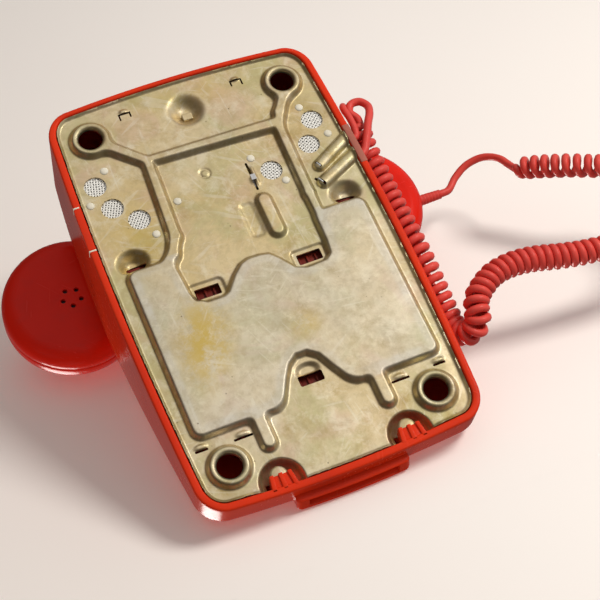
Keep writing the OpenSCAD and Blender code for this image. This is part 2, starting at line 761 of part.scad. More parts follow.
// flat plug at the end of the line cord
module line_plug() color(plug_cream) translate(plug_place) rotate([0, 0, 225]) difference() {
  union() {
    block([0, 26], [-7, 7], [-5.9, 5.9]);
    block([25, 33], [-4.5, 4.5], [-4, 4]);
  }
  rod_x([-1, 7], 0, 0, 2);
}

base_plate();
housing();
front_grip();
side_blank();
cord_port();
vent_mesh();
mesh_rivets();
case_screw();
dial_bezel();
number_plate();
finger_wheel();
dial_cap();
finger_stop();
dial_frame();
dial_shaft();
dial_gear();
pinion();
governor();
dial_spring();
pulse_contacts();
plungers();
hook_lever();
hook_spring();
hook_bracket();
ringer_frame();
gongs();
gong_screws();
ringer_coil();
clapper();
volume_lever();
circuit_board();
induction_coil();
capacitor();
terminal_block();
terminal_screws();
handset_body();
receiver_cap();
mouthpiece_cap();
receiver_capsule();
transmitter_capsule();
cord_sleeve();
coil_cord();
line_cord();
line_plug();
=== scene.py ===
"""A red desk telephone with a dial, a handset across its cradle and a coiled cord, seen from below.

Lengths are millimetres until a mesh is made. In the product's frame x points right, y to the
rear and z up; the dial faces the front (-y) and the handset lies along x over y = CRADLE_Y.
The cords leave on the left (-x). The pressed pad of the base plate lies at about z = 0.
A "block" is a pair (vertices, faces), and Geo joins blocks into one mesh.
"""
import bpy
import bmesh
import json
import math
import numpy as np
from contextlib import contextmanager
from mathutils import Vector, Matrix
from mathutils.geometry import delaunay_2d_cdt, tessellate_polygon

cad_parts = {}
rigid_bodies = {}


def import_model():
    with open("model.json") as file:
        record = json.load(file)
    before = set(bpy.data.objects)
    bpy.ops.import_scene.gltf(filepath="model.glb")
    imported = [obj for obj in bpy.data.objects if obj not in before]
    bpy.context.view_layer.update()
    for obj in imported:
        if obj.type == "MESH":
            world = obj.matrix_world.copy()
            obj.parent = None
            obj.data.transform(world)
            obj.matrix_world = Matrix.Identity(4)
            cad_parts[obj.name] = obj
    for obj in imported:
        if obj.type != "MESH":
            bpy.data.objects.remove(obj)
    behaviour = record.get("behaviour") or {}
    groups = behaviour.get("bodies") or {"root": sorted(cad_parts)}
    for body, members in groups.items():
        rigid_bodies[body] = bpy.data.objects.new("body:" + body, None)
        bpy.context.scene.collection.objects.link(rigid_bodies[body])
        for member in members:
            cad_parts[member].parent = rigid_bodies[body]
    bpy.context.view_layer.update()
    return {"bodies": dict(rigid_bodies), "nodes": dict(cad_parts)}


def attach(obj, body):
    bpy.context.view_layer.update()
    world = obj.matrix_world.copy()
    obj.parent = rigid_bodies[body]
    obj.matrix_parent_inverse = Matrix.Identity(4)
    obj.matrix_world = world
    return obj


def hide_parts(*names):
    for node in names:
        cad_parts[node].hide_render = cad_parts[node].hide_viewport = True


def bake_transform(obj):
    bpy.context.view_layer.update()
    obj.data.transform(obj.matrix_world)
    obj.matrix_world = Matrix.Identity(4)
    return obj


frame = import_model()
MM = 0.001


# ------------------------------------------------------------------ height and distance fields
def smoothstep(t):
    t = np.clip(t, 0.0, 1.0)
    return t * t * (3 - 2 * t)


def fade_out(t):
    return 1 - smoothstep(t)


def dome(t):
    """Half circle: 1 at t = 0, 0 from t = 1."""
    return np.sqrt(np.clip(1 - t ** 2, 0, 1))


def smooth_min(a, b, k):
    h = np.clip(0.5 + 0.5 * (b - a) / k, 0, 1)
    return b * (1 - h) + a * h - k * h * (1 - h)


def smooth_max(a, b, k):
    return -smooth_min(-a, -b, k)


# The to_ functions give signed distances, negative inside.
def to_box(x, y, x0, x1, y0, y1, r):
    qx = np.abs(x - (x0 + x1) / 2) - (x1 - x0) / 2 + r
    qy = np.abs(y - (y0 + y1) / 2) - (y1 - y0) / 2 + r
    outside = np.hypot(np.maximum(qx, 0), np.maximum(qy, 0))
    return outside + np.minimum(np.maximum(qx, qy), 0) - r


def to_bar(x, y, start, end, r0, r1=None):
    """Round-ended bar whose radius runs from r0 to r1."""
    r1 = r0 if r1 is None else r1
    ex, ey = end[0] - start[0], end[1] - start[1]
    t = ((x - start[0]) * ex + (y - start[1]) * ey) / (ex * ex + ey * ey)
    t = np.clip(t, 0, 1)
    return np.hypot(x - start[0] - ex * t, y - start[1] - ey * t) - (r0 + (r1 - r0) * t)


def to_polygon(x, y, points):
    points = np.array(points, float)
    nearest = np.full(np.shape(x), 1e12)
    sign = np.ones(np.shape(x))
    for i, here in enumerate(points):
        before = points[i - 1]
        edge = before - here
        wx, wy = x - here[0], y - here[1]
        t = np.clip((wx * edge[0] + wy * edge[1]) / (edge @ edge), 0, 1)
        bx, by = wx - edge[0] * t, wy - edge[1] * t
        nearest = np.minimum(nearest, bx * bx + by * by)
        above = y >= here[1]
        below = y < before[1]
        left = edge[0] * wy > edge[1] * wx
        sign = np.where((above & below & left) | (~above & ~below & ~left), -sign, sign)
    return sign * np.sqrt(nearest)


def wobble(x, y, seed, wave, height):
    """Sum of seven random waves."""
    rng = np.random.default_rng(seed)
    total = 0 * x
    for _ in range(7):
        angle, phase = rng.uniform(0, 2 * math.pi), rng.uniform(0, 6.28)
        length = wave * rng.uniform(0.6, 1.6)
        along = x * math.cos(angle) + y * math.sin(angle)
        total = total + np.sin(along * 2 * math.pi / length + phase)
    return total * height / 3.0


# ------------------------------------------------------------------ building meshes
class Geo:
    """Collects the vertices and faces of one mesh."""

    def __init__(self, *blocks):
        self.parts = []
        self.faces = []
        self.count = 0
        for verts, faces in blocks:
            self.add(verts, faces)

    def add(self, verts, faces=()):
        """Adds a block and returns the range of its vertex indices."""
        verts = np.asarray(verts, float).reshape(-1, 3)
        start = self.count
        self.parts.append(verts)
        self.faces += [tuple(i + start for i in face) for face in faces]
        self.count += len(verts)
        return range(start, self.count)

    def verts(self):
        return np.vstack(self.parts)

    def block(self):
        return self.verts(), self.faces


@contextmanager
def edited(ob):
    bm = bmesh.new()
    bm.from_mesh(ob.data)
    yield bm
    bm.to_mesh(ob.data)
    bm.free()


def mark_sharp(bm, degrees):
    for edge in bm.edges:
        if len(edge.link_faces) == 2 and edge.calc_face_angle(0) > math.radians(degrees):
            edge.smooth = False


def tidy(ob, weld=None, collapse=None, sharp=None):
    """Welds close vertices, collapses short edges, turns faces outwards, marks sharp edges."""
    with edited(ob) as bm:
        if weld:
            bmesh.ops.remove_doubles(bm, verts=bm.verts, dist=weld * MM)
        if collapse:
            bmesh.ops.dissolve_degenerate(bm, dist=collapse * MM, edges=bm.edges)
        bmesh.ops.recalc_face_normals(bm, faces=bm.faces)
        if sharp:
            mark_sharp(bm, sharp)


def smooth_all(mesh):
    mesh.polygons.foreach_set("use_smooth", [True] * len(mesh.polygons))


def make(name, geo, mat, body="phone_base", smooth=True, replaces=None, slot=None, sharp=None):
    mesh = bpy.data.meshes.new(name)
    verts = [tuple(v) for v in geo.verts() * MM]
    mesh.from_pydata(verts, [], [tuple(int(i) for i in face) for face in geo.faces])
    mesh.validate()
    mesh.update()
    if smooth:
        smooth_all(mesh)
    ob = bpy.data.objects.new(name, mesh)
    bpy.context.scene.collection.objects.link(ob)
    mesh.materials.append(mat)
    if sharp is not None:
        with edited(ob) as bm:
            mark_sharp(bm, sharp)
    if body:
        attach(ob, body)
    if replaces:
        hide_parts(replaces)
    return ob


def bevel(ob, width, segments=3, angle=30):
    mod = ob.modifiers.new("bevel", "BEVEL")
    mod.width = width * MM
    mod.segments = segments
    mod.limit_method = "ANGLE"
    mod.angle_limit = math.radians(angle)
    mod.harden_normals = False


def make_joined(name, blocks, mat, rounding=None, **keys):
    """One object of several closed blocks, with faces turned outwards."""
    ob = make(name, Geo(*blocks), mat, **keys)
    tidy(ob)
    if rounding:
        bevel(ob, rounding, segments=2)
    return ob


def bridge(a, b, corners="aAbB"):
    """Quads between two closed index loops.

    The corners of each quad are picked in the given order: a and b are the points of the two
    loops at one step, A and B the points at the next step.
    """
    quads = []
    for i in range(len(a)):
        j = (i + 1) % len(a)
        at = {"a": a[i], "A": a[j], "b": b[i], "B": b[j]}
        quads.append(tuple(at[c] for c in corners))
    return quads


WOUND, UNWOUND = "aABb", "AabB"


def at_height(points, z):
    """Adds a z column, either one height or one per point."""
    return np.c_[points, np.broadcast_to(z, len(points))]


def turn(points, angle, x0=0, y0=0):
    """Turns 2D points about the origin, then moves them by x0, y0."""
    x, y = np.asarray(points, float).T
    c, s = math.cos(angle), math.sin(angle)
    return np.c_[x0 + c * x - s * y, y0 + s * x + c * y]


def circle_loop(cx, cy, r, n):
    turns = [2 * math.pi * i / n for i in range(n)]
    return [(cx + r * math.cos(t), cy + r * math.sin(t)) for t in turns]


def rect_loop(x0, x1, y0, y1, r, n):
    """Rectangle with corners of radius r, n steps each."""
    points = []
    corners = ((x1 - r, y1 - r, 0), (x0 + r, y1 - r, 90), (x0 + r, y0 + r, 180),
               (x1 - r, y0 + r, 270))
    for cx, cy, start in corners:
        for i in range(n + 1):
            t = math.radians(start + 90 * i / n)
            points.append((cx + r * math.cos(t), cy + r * math.sin(t)))
    return points


def arc(cx, cz, r, a0, a1, n):
    turns = [math.radians(a0 + (a1 - a0) * i / n) for i in range(n + 1)]
    return [(cx + r * math.cos(t), cz + r * math.sin(t)) for t in turns]


def super_oval(half_w, half_h, power_w, power_h, n):
    """Oval with squared-off sides; powers below 1 make it squarer."""
    t = np.linspace(0, 2 * math.pi, n, endpoint=False)
    c, s = np.cos(t), np.sin(t)
    return np.c_[half_w * np.sign(c) * np.abs(c) ** power_w,
                 half_h * np.sign(s) * np.abs(s) ** power_h]


def densify(loop, step):
    points = []
    for i in range(len(loop)):
        a, b = np.array(loop[i], float), np.array(loop[(i + 1) % len(loop)], float)
        count = max(1, int(np.linalg.norm(b - a) / step + 0.5))
        points += [tuple(a + (b - a) * k / count) for k in range(count)]
    return points


def lathe(profile, seg=96, centre=(0, 0, 0), closed=False):
    """Turns (radius, z) points about a vertical axis; radius 0 makes a pole."""
    geo = Geo()
    cx, cy, cz = centre
    rows = []
    for r, z in profile:
        ring = [(cx, cy)] if r < 1e-9 else circle_loop(cx, cy, r, seg)
        rows.append(geo.add(at_height(ring, cz + z)))
    pairs = list(zip(rows[:-1], rows[1:]))
    if closed:
        pairs.append((rows[-1], rows[0]))
    for a, b in pairs:
        if len(a) == 1:
            geo.faces += [(a[0], b[(i + 1) % seg], b[i]) for i in range(seg)]
        elif len(b) == 1:
            geo.faces += [(a[i], a[(i + 1) % seg], b[0]) for i in range(seg)]
        else:
            geo.faces += bridge(a, b, WOUND)
    return geo.block()


def near_loop(x, y, loop, pad):
    """Indices of the points in the loop's bounding box, grown by pad."""
    low, high = np.min(loop, 0), np.max(loop, 0)
    return np.where((x > low[0] - pad) & (x < high[0] + pad)
                    & (y > low[1] - pad) & (y < high[1] + pad))[0]


def fill(outer, holes, step):
    """Triangulates a flat region with holes over a staggered inner grid.

    Returns the points, the triangles (facing up) and the index loop of each outline.
    """
    x0, y0 = np.min(outer, 0)
    x1, y1 = np.max(outer, 0)
    grid_x, grid_y = np.meshgrid(np.arange(x0 + step / 2, x1, step),
                                 np.arange(y0 + step / 2, y1, step * 0.866))
    grid_x = grid_x + (np.arange(grid_x.shape[0])[:, None] % 2) * step / 2
    grid_x, grid_y = grid_x.ravel(), grid_y.ravel()
    margin = 0.42 * step
    keep = to_polygon(grid_x, grid_y, outer) < -margin
    grid_x, grid_y = grid_x[keep], grid_y[keep]
    for hole in holes:
        near = near_loop(grid_x, grid_y, hole, step)
        keep = np.ones(len(grid_x), bool)
        keep[near[to_polygon(grid_x[near], grid_y[near], hole) < margin]] = False
        grid_x, grid_y = grid_x[keep], grid_y[keep]
    points, edges, spans = [], [], []
    for loop in [outer] + list(holes):
        start, count = len(points), len(loop)
        points += [tuple(p) for p in loop]
        edges += [(start + i, start + (i + 1) % count) for i in range(count)]
        spans.append(range(start, start + count))
    points += list(zip(grid_x.tolist(), grid_y.tolist()))
    out_verts, _, out_faces, sources, _, _ = delaunay_2d_cdt(
        [Vector(p) for p in points], edges, [], 0, 1e-6)
    flat = np.array([(v.x, v.y) for v in out_verts])
    tris = np.array([f for f in out_faces if len(f) == 3], int)
    a, b, c = flat[tris[:, 0]], flat[tris[:, 1]], flat[tris[:, 2]]
    area = (b[:, 0] - a[:, 0]) * (c[:, 1] - a[:, 1]) - (b[:, 1] - a[:, 1]) * (c[:, 0] - a[:, 0])
    tris[area < 0] = tris[area < 0][:, ::-1]
    mid_x, mid_y = ((a + b + c) / 3).T
    keep = to_polygon(mid_x, mid_y, outer) < 0
    for hole in holes:
        near = near_loop(mid_x, mid_y, hole, 0)
        keep[near[to_polygon(mid_x[near], mid_y[near], hole) < 0]] = False
    tris = tris[keep & (np.abs(area) > 1e-9)]
    found = {source: i for i, group in enumerate(sources) for source in group}
    return flat, tris, [np.array([found[i] for i in span]) for span in spans]


def catmull(points, steps):
    """Smooth curve through the points, with the given steps between two of them."""
    p = np.asarray(points, float)
    n = len(p)
    curve = []
    for i in range(n - 1):
        a, b, c, d = p[max(i - 1, 0)], p[i], p[i + 1], p[min(i + 2, n - 1)]
        for k in range(steps):
            t = k / steps
            curve.append(0.5 * (2 * b + (c - a) * t + (2 * a - 5 * b + 4 * c - d) * t * t
                                + (3 * b - a - 3 * c + d) * t ** 3))
    curve.append(p[-1])
    return np.array(curve)


def sweep(path, sections):
    """Solid with one (sideways, upward) section at each path point."""
    path = np.asarray(path, float)
    geo = Geo()
    rows = []
    for i, section in enumerate(sections):
        ahead = path[min(i + 1, len(path) - 1)] - path[max(i - 1, 0)]
        ahead /= np.linalg.norm(ahead)
        side = np.cross(ahead, (0, 0, 1))
        side /= np.linalg.norm(side)
        up = np.cross(side, ahead)
        rows.append(geo.add([path[i] + a * side + b * up for a, b in section]))
    for a, b in zip(rows[:-1], rows[1:]):
        geo.faces += bridge(b, a, WOUND)
    geo.faces += [tuple(rows[0]), tuple(rows[-1])[::-1]]
    return geo.block()


def carried_frame(path):
    """Two cross directions at each point, carried along the path without twist."""
    ahead = np.gradient(path, axis=0)
    ahead /= np.linalg.norm(ahead, axis=1)[:, None]
    u = np.cross(ahead[0], [0, 0, 1.0])
    if np.linalg.norm(u) < 1e-3:
        u = np.cross(ahead[0], [0, 1.0, 0])
    u /= np.linalg.norm(u)
    first = np.zeros_like(ahead)
    for i in range(len(ahead)):
        u = u - (u @ ahead[i]) * ahead[i]
        u /= np.linalg.norm(u)
        first[i] = u
    return first, np.cross(ahead, first)


def tube(path, r, sides):
    path = np.asarray(path, float)
    first, second = carried_frame(path)
    t = np.linspace(0, 2 * math.pi, sides, endpoint=False)[None, :, None]
    verts = path[:, None] + r * (np.cos(t) * first[:, None] + np.sin(t) * second[:, None])
    rows = [range(i * sides, (i + 1) * sides) for i in range(len(path))]
    faces = []
    for a, b in zip(rows[:-1], rows[1:]):
        faces += bridge(a, b, WOUND)
    faces += [tuple(rows[0])[::-1], tuple(rows[-1])]
    return verts.reshape(-1, 3), faces


def box(x0, x1, y0, y1, z0, z1):
    verts = [(x, y, z) for z in (z0, z1) for y in (y0, y1) for x in (x0, x1)]
    return verts, [(0, 2, 3, 1), (4, 5, 7, 6), (0, 1, 5, 4), (2, 6, 7, 3), (0, 4, 6, 2),
                   (1, 3, 7, 5)]


def wedge(cx, half0, half1, y0, y1, z0, z1):
    """Box about cx whose half width is half0 at y0 and half1 at y1."""
    plan = [(cx - half0, y0), (cx + half0, y0), (cx + half1, y1), (cx - half1, y1)]
    verts = [(x, y, z) for z in (z0, z1) for x, y in plan]
    return verts, [(0, 3, 2, 1), (4, 5, 6, 7), (0, 1, 5, 4), (1, 2, 6, 5), (2, 3, 7, 6),
                   (3, 0, 4, 7)]


# ------------------------------------------------------------------ shader helpers
class Nodes:
    """Short forms for adding linked nodes to one node tree."""

    def __init__(self, tree):
        self.tree = tree
        tree.nodes.clear()

    def feed(self, node, inputs):
        """Links sockets and sets plain values."""
        for key, value in inputs.items():
            if isinstance(value, bpy.types.NodeSocket):
                self.tree.links.new(value, node.inputs[key])
            else:
                node.inputs[key].default_value = value

    def node(self, kind, inputs=None, **settings):
        node = self.tree.nodes.new("ShaderNode" + kind)
        for key, value in settings.items():
            setattr(node, key, value)
        self.feed(node, inputs or {})
        return node

    def place(self, turned=(0, 0, 0)):
        """Object coordinates, turned by three angles."""
        coords = self.node("TexCoord").outputs["Object"]
        return self.node("Mapping", {"Rotation": turned, "Vector": coords}).outputs[0]

    def noise(self, vector, scale, detail=4, rough=0.55, distort=0.0):
        return self.node("TexNoise", {
            "Scale": scale, "Detail": detail, "Roughness": rough, "Distortion": distort,
            "Vector": vector}).outputs["Fac"]

    def ramp(self, factor, stops):
        """Colour ramp through (position, colour or grey) stops."""
        node = self.node("ValToRGB", {0: factor})
        elements = node.color_ramp.elements
        while len(elements) < len(stops):
            elements.new(0.5)
        for element, (position, colour) in zip(elements, stops):
            element.position = position
            element.color = (colour,) * 3 + (1,) if np.isscalar(colour) else (*colour, 1)
        return node.outputs[0]

    def band(self, factor, start, end, low=0.0, high=1.0):
        """Goes from low to high between two factor values."""
        return self.ramp(factor, [(start, low), (end, high)])

    def mix(self, factor, a, b, kind="MIX"):
        a, b = [(*c, 1) if isinstance(c, tuple) else c for c in (a, b)]
        return self.node("Mix", {0: factor, 6: a, 7: b}, data_type="RGBA",
                         blend_type=kind).outputs[2]

    def math(self, operation, a, b, c=None, clamp=False):
        inputs = {0: a, 1: b}
        if c is not None:
            inputs[2] = c
        return self.node("Math", inputs, operation=operation, use_clamp=clamp).outputs[0]

    def add(self, a, b, clamp=False):
        return self.math("ADD", a, b, clamp=clamp)

    def times(self, a, b, clamp=False):
        return self.math("MULTIPLY", a, b, clamp=clamp)

    def scratches(self, seed, scale, width, cover):
        """Thin short lines in three directions, 0 to 1."""
        total = None
        for k in range(3):
            turned = self.place((0.0, 0.0, 0.7 * seed + 1.05 * k + 0.35))
            drawn_out = self.node("VectorMath", {0: turned, 1: (1.0, 0.07, 1.0)},
                                  operation="MULTIPLY").outputs[0]
            streaks = self.noise(drawn_out, scale * 9, detail=0.0, rough=0.5, distort=0.25)
            line = self.band(streaks, start=0.735 - width, end=0.745)
            patches = self.noise(self.place((0.2 * k, 0.1, seed + k)), scale=30, detail=2)
            mask = self.band(patches, start=cover, end=cover + 0.08)
            one = self.mix(1.0, line, mask, "MULTIPLY")
            total = one if total is None else self.add(total, one, clamp=True)
        return total


class Surface(Nodes):
    """A material with a principled shader joined to its output."""

    def __init__(self, name):
        self.material = bpy.data.materials.new(name)
        self.material.use_nodes = True
        super().__init__(self.material.node_tree)
        self.out = self.node("OutputMaterial")
        self.bsdf = self.node("BsdfPrincipled")
        self.feed(self.out, {0: self.bsdf.outputs[0]})

    def bump(self, height, strength, distance):
        node = self.node("Bump", {"Strength": strength, "Distance": distance, "Height": height})
        self.feed(self.bsdf, {"Normal": node.outputs[0]})


# ------------------------------------------------------------------ materials
def plastic(name, main, other, rough, rough_var=0.12, coat=0.0, grain=0.15, spec=0.5, dirt=0.25):
    """Mottled plastic with grime and light scratches.

    rough_var is the spread of the roughness, grain the bump strength, dirt the grime's cover.
    """
    s = Surface(name)
    spot = s.place()
    colour = s.mix(s.band(s.noise(spot, scale=18, detail=3), start=0.35, end=0.68), main, other)
    grime = s.band(s.noise(spot, scale=70, detail=6, rough=0.65), start=0.52, end=0.75, high=dirt)
    colour = s.mix(grime, colour, tuple(0.55 * c + 0.02 for c in main))
    lines = s.scratches(seed=2.0, scale=75, width=0.008, cover=0.56)
    colour = s.mix(s.times(lines, 0.13), colour, tuple(min(1, 1.3 * c + 0.05) for c in main))
    spread = s.math("MULTIPLY_ADD", s.noise(spot, scale=40, detail=5, rough=0.6), rough_var,
                    rough - rough_var / 2)
    s.feed(s.bsdf, {
        "Base Color": colour,
        "Roughness": s.add(spread, s.times(lines, 0.2), clamp=True),
        "Specular IOR Level": spec,
        "Coat Weight": coat,
        "Coat Roughness": 0.12})
    fine = s.times(s.noise(spot, scale=900, detail=2), 0.5)
    height = s.add(fine, s.times(s.noise(spot, scale=60, detail=3), 1.0))
    s.bump(height, strength=grain, distance=0.0002)
    return s.material


def metal(name, main, other, rough, stains=None):
    """Bare metal with pale scratches and, if given, stains of another colour."""
    s = Surface(name)
    spot = s.place()
    mottle = s.noise(spot, scale=30, detail=5, rough=0.6)
    colour = s.mix(s.band(mottle, start=0.35, end=0.65), main, other)
    if stains:
        cloud = s.noise(spot, scale=30 * 2.2, detail=6, rough=0.7)
        colour = s.mix(s.band(cloud, start=0.55, end=0.72, high=0.7), colour, stains)
    lines = s.scratches(seed=1.0, scale=90, width=0.01, cover=0.5)
    s.feed(s.bsdf, {
        "Base Color": s.mix(s.times(lines, 0.4), colour, (0.85, 0.84, 0.8)),
        "Metallic": 1.0,
        "Roughness": s.math("MULTIPLY_ADD", s.noise(spot, scale=80), 0.22, rough - 0.08)})
    height = s.add(s.noise(spot, scale=700, detail=3), s.times(lines, -1.5))
    s.bump(height, strength=0.18, distance=0.0002)
    return s.material


def zinc_plate():
    """Yellow chromated zinc, stained, worn and pitted."""
    tan, green, pale = (0.69, 0.545, 0.295), (0.56, 0.51, 0.27), (0.77, 0.65, 0.44)
    pink, grey = (0.66, 0.46, 0.34), (0.69, 0.66, 0.59)
    s = Surface("zinc_plate")
    spot = s.place()
    broad = s.noise(spot, scale=9, detail=3, rough=0.5, distort=0.6)
    colour = s.mix(s.band(broad, start=0.42, end=0.58), tan, pale)
    greenish = s.noise(spot, scale=26, detail=5, rough=0.62, distort=0.5)
    colour = s.mix(s.band(greenish, start=0.45, end=0.60, high=0.85), colour, green)
    # thin-film tint where the chromate is thicker
    spot2 = s.place((0.4, 0.9, 0.2))
    film = s.noise(spot2, scale=38, detail=3, rough=0.5, distort=1.2)
    colour = s.mix(s.band(film, start=0.52, end=0.66, high=0.5), colour, pink)
    # brown-yellow stains
    spot3 = s.place((1.4, 0.3, 0.6))
    areas = s.noise(spot3, scale=26, detail=6, rough=0.7, distort=0.3)
    speckle = s.noise(spot3, scale=160, detail=5, rough=0.7)
    brown = s.mix(1.0, s.band(areas, start=0.48, end=0.62),
                  s.band(speckle, start=0.4, end=0.62, low=0.2), "MULTIPLY")
    colour = s.mix(s.times(brown, 0.75), colour, (0.46, 0.32, 0.10))
    stain = s.node("Attribute", attribute_name="stain").outputs["Fac"]
    broken = s.noise(spot3, scale=85, detail=8, rough=0.8)
    patch = s.times(stain, s.band(broken, start=0.40, end=0.56, low=0.10), clamp=True)
    # worn metal on the pad and on its edges
    wear = s.node("Attribute", attribute_name="wear").outputs["Fac"]
    rubbed = s.band(s.noise(spot, scale=30, detail=5, rough=0.6), start=0.3, end=0.6, low=0.35)
    worn = s.times(wear, rubbed, clamp=True)
    colour = s.mix(s.times(worn, 0.85), colour, grey)
    # dark and pale grain of the coating
    dark = s.noise(spot2, scale=230, detail=6, rough=0.72)
    colour = s.mix(s.band(dark, start=0.44, end=0.62, high=0.34), colour, (0.44, 0.35, 0.19))
    light = s.noise(spot3, scale=110, detail=6, rough=0.75, distort=0.4)
    colour = s.mix(s.band(light, start=0.50, end=0.66, high=0.45), colour, (0.90, 0.83, 0.66))
    # yellow film on the stained areas
    colour = s.mix(s.times(patch, 1.0, clamp=True), colour, (0.64, 0.47, 0.14))
    coarse = s.scratches(seed=1.0, scale=38, width=0.006, cover=0.50)
    medium = s.scratches(seed=3.1, scale=70, width=0.008, cover=0.52)
    fine = s.scratches(seed=5.7, scale=120, width=0.012, cover=0.55)
    lines = s.add(s.add(coarse, medium), fine, clamp=True)
    colour = s.mix(s.times(lines, 0.22), colour, (0.88, 0.84, 0.74))
    # dark pits
    cells = s.node("TexVoronoi", {"Scale": 210, "Vector": spot}).outputs["Distance"]
    pitted = s.band(s.noise(spot2, scale=55, detail=3), start=0.56, end=0.62)
    pits = s.mix(1.0, s.band(cells, start=0.05, end=0.10, low=1.0, high=0.0), pitted, "MULTIPLY")
    colour = s.mix(s.times(pits, 0.7), colour, (0.16, 0.11, 0.06))
    rough = s.math("MULTIPLY_ADD", s.noise(spot, scale=55, detail=6, rough=0.6), 0.26, 0.19)
    rough = s.add(rough, s.times(brown, 0.15))
    rough = s.add(rough, s.times(wear, 0.05), clamp=True)
    s.feed(s.bsdf, {"Base Color": colour, "Metallic": 0.92, "Roughness": rough})
    height = s.add(s.times(s.noise(spot, scale=420, detail=4, rough=0.6), 0.8),
                   s.times(lines, -0.5))
    height = s.add(height, s.times(s.noise(spot, scale=45, detail=3), 2.2))
    height = s.add(height, s.times(pits, -2.0))
    s.bump(height, strength=0.09, distance=0.00022)
    return s.material


M_PLATE = zinc_plate()
M_RED = plastic("red_case", (0.70, 0.036, 0.007), (0.60, 0.026, 0.005), rough=0.26,
                grain=0.08, spec=0.16)
M_HAND = plastic("handset_red", (0.74, 0.015, 0.004), (0.64, 0.012, 0.004), rough=0.22,
                 rough_var=0.10, grain=0.08, spec=0.14)
M_CORD = plastic("cord_red", (0.72, 0.070, 0.052), (0.62, 0.046, 0.036), rough=0.30,
                 rough_var=0.14, grain=0.2)
M_GREY = plastic("grey_plastic", (0.30, 0.27, 0.23), (0.24, 0.21, 0.18), rough=0.45,
                 rough_var=0.15)
M_PORT = plastic("port_plastic", (0.42, 0.13, 0.09), (0.34, 0.10, 0.07), rough=0.4,
                 rough_var=0.15, grain=0.1, spec=0.4)
# darkened copy of the case red: painted shade for the hooks seen inside the plate's holes and slots
M_SHADED_RED = plastic("red_painted_shade", (0.17, 0.018, 0.010), (0.11, 0.012, 0.008), rough=0.4,
                 rough_var=0.15, grain=0.1, spec=0.3)
M_IVORY = plastic("ivory_plastic", (0.80, 0.76, 0.64), (0.70, 0.66, 0.53), rough=0.4, dirt=0.4)
M_BLACK = plastic("black_plastic", (0.022, 0.022, 0.024), (0.035, 0.034, 0.035), rough=0.3,
                  rough_var=0.15)
M_WHEEL = plastic("dial_wheel_plastic", (0.78, 0.76, 0.70), (0.70, 0.68, 0.60), rough=0.22,
                  coat=0.3, grain=0.08, dirt=0.2)
M_PRINT = plastic("plate_print", (0.82, 0.81, 0.76), (0.76, 0.74, 0.68), rough=0.4,
                  rough_var=0.1, dirt=0.15)
M_INK = plastic("dial_ink", (0.03, 0.03, 0.032), (0.05, 0.05, 0.05), rough=0.5, rough_var=0.1)
M_STEEL = metal("bright_steel", (0.62, 0.62, 0.63), (0.52, 0.52, 0.54), rough=0.26)
M_BRASS = metal("gong_brass", (0.72, 0.55, 0.24), (0.62, 0.46, 0.18), rough=0.24,
                stains=(0.4, 0.28, 0.12))
M_SPRING = metal("spring_metal", (0.74, 0.66, 0.42), (0.64, 0.56, 0.34), rough=0.28)
M_BOARD = plastic("board_brown", (0.20, 0.07, 0.035), (0.14, 0.05, 0.025), rough=0.35,
                  rough_var=0.15)
M_COPPER = metal("coil_copper", (0.60, 0.24, 0.10), (0.45, 0.16, 0.07), rough=0.35)
M_CAPS = metal("capsule_metal", (0.70, 0.70, 0.70), (0.60, 0.60, 0.61), rough=0.3)
M_MESH = plastic("mesh_cloth", (0.90, 0.90, 0.87), (0.82, 0.81, 0.77), rough=0.5,
                 rough_var=0.15, dirt=0.2)

# ------------------------------------------------------------------ case outline
HALF_W, HALF_L = 70.4, 109.1
WALL = 2.8
RIM_Z = 1.0
SLOPE = math.radians(19)
FRONT_H = 20.0
REAR_SHIFT = 1.1


def side_taper(y):
    """How far the side walls draw in at y."""
    return 3.1 * (y / (HALF_L - 10)) ** 2


def end_taper(x):
    """How far the front and rear walls draw in at x."""
    return 3.9 * (x / HALF_W) ** 2


def rear_shift(loop, shift):
    """Moves the rear part of a loop towards the rear."""
    return [(x, y + shift * float(smoothstep((y - 88.0) / 16.0))) for x, y in loop]


def barrel(inset):
    """Case outline, moved inwards: one quarter mirrored to all four."""
    side_steps, corner_steps, end_steps = 22, 14, 22
    w, l, r = HALF_W - inset, HALF_L - inset, max(2.0, 13.2 - inset)
    quarter = []
    for i in range(side_steps + 1):
        y = (l - r - 4) * i / side_steps
        quarter.append((w - side_taper(y), y))
    cx, cy = quarter[-1][0] - r, quarter[-1][1]
    for i in range(1, corner_steps):
        t = math.radians(90 * i / corner_steps)
        quarter.append((cx + r * math.cos(t), cy + (l - end_taper(cx) - cy) * math.sin(t)))
    for i in range(end_steps, 0, -1):
        x = cx * i / end_steps
        quarter.append((x, l - end_taper(x)))
    back = quarter[::-1]
    rear = quarter + [(0, l)] + [(-x, y) for x, y in back][:-1]
    return rear + [(-x, -y) for x, y in quarter] + [(0, -l)] + [(x, -y) for x, y in back][:-1]


# ------------------------------------------------------------------ base plate
# The pressing's field lies at FIELD_Z; its pad, ribs and foot bosses stand down to z = 0.
FIELD_Z, SHEET = 3.0, 1.2
TONGUE_X = 30.5
FEET = [(sx * 49.3, sy * 88.0) for sx in (-1, 1) for sy in (-1, 1)]
FOOT_HOLE_R = 5.7
VENTS = [(55.7, 63.6), (52.1, 49.9), (42.5, 40.1), (-54.8, 63.4), (-48, 51), (-25.3, 43.6)]
VENT_HOLE_R = 5.3
RIVETS = [(48.9, 70.3), (61.2, 54.6), (37.9, 30.1), (-51.6, 71.8), (-58.9, 53.3), (-18.4, 53.0),
          (-29.6, 36), (22.6, 43)]
PAD = (-59.4, 58.6, -71.6, 14.6, 4.4)  # x0, x1, y0, y1, corner radius
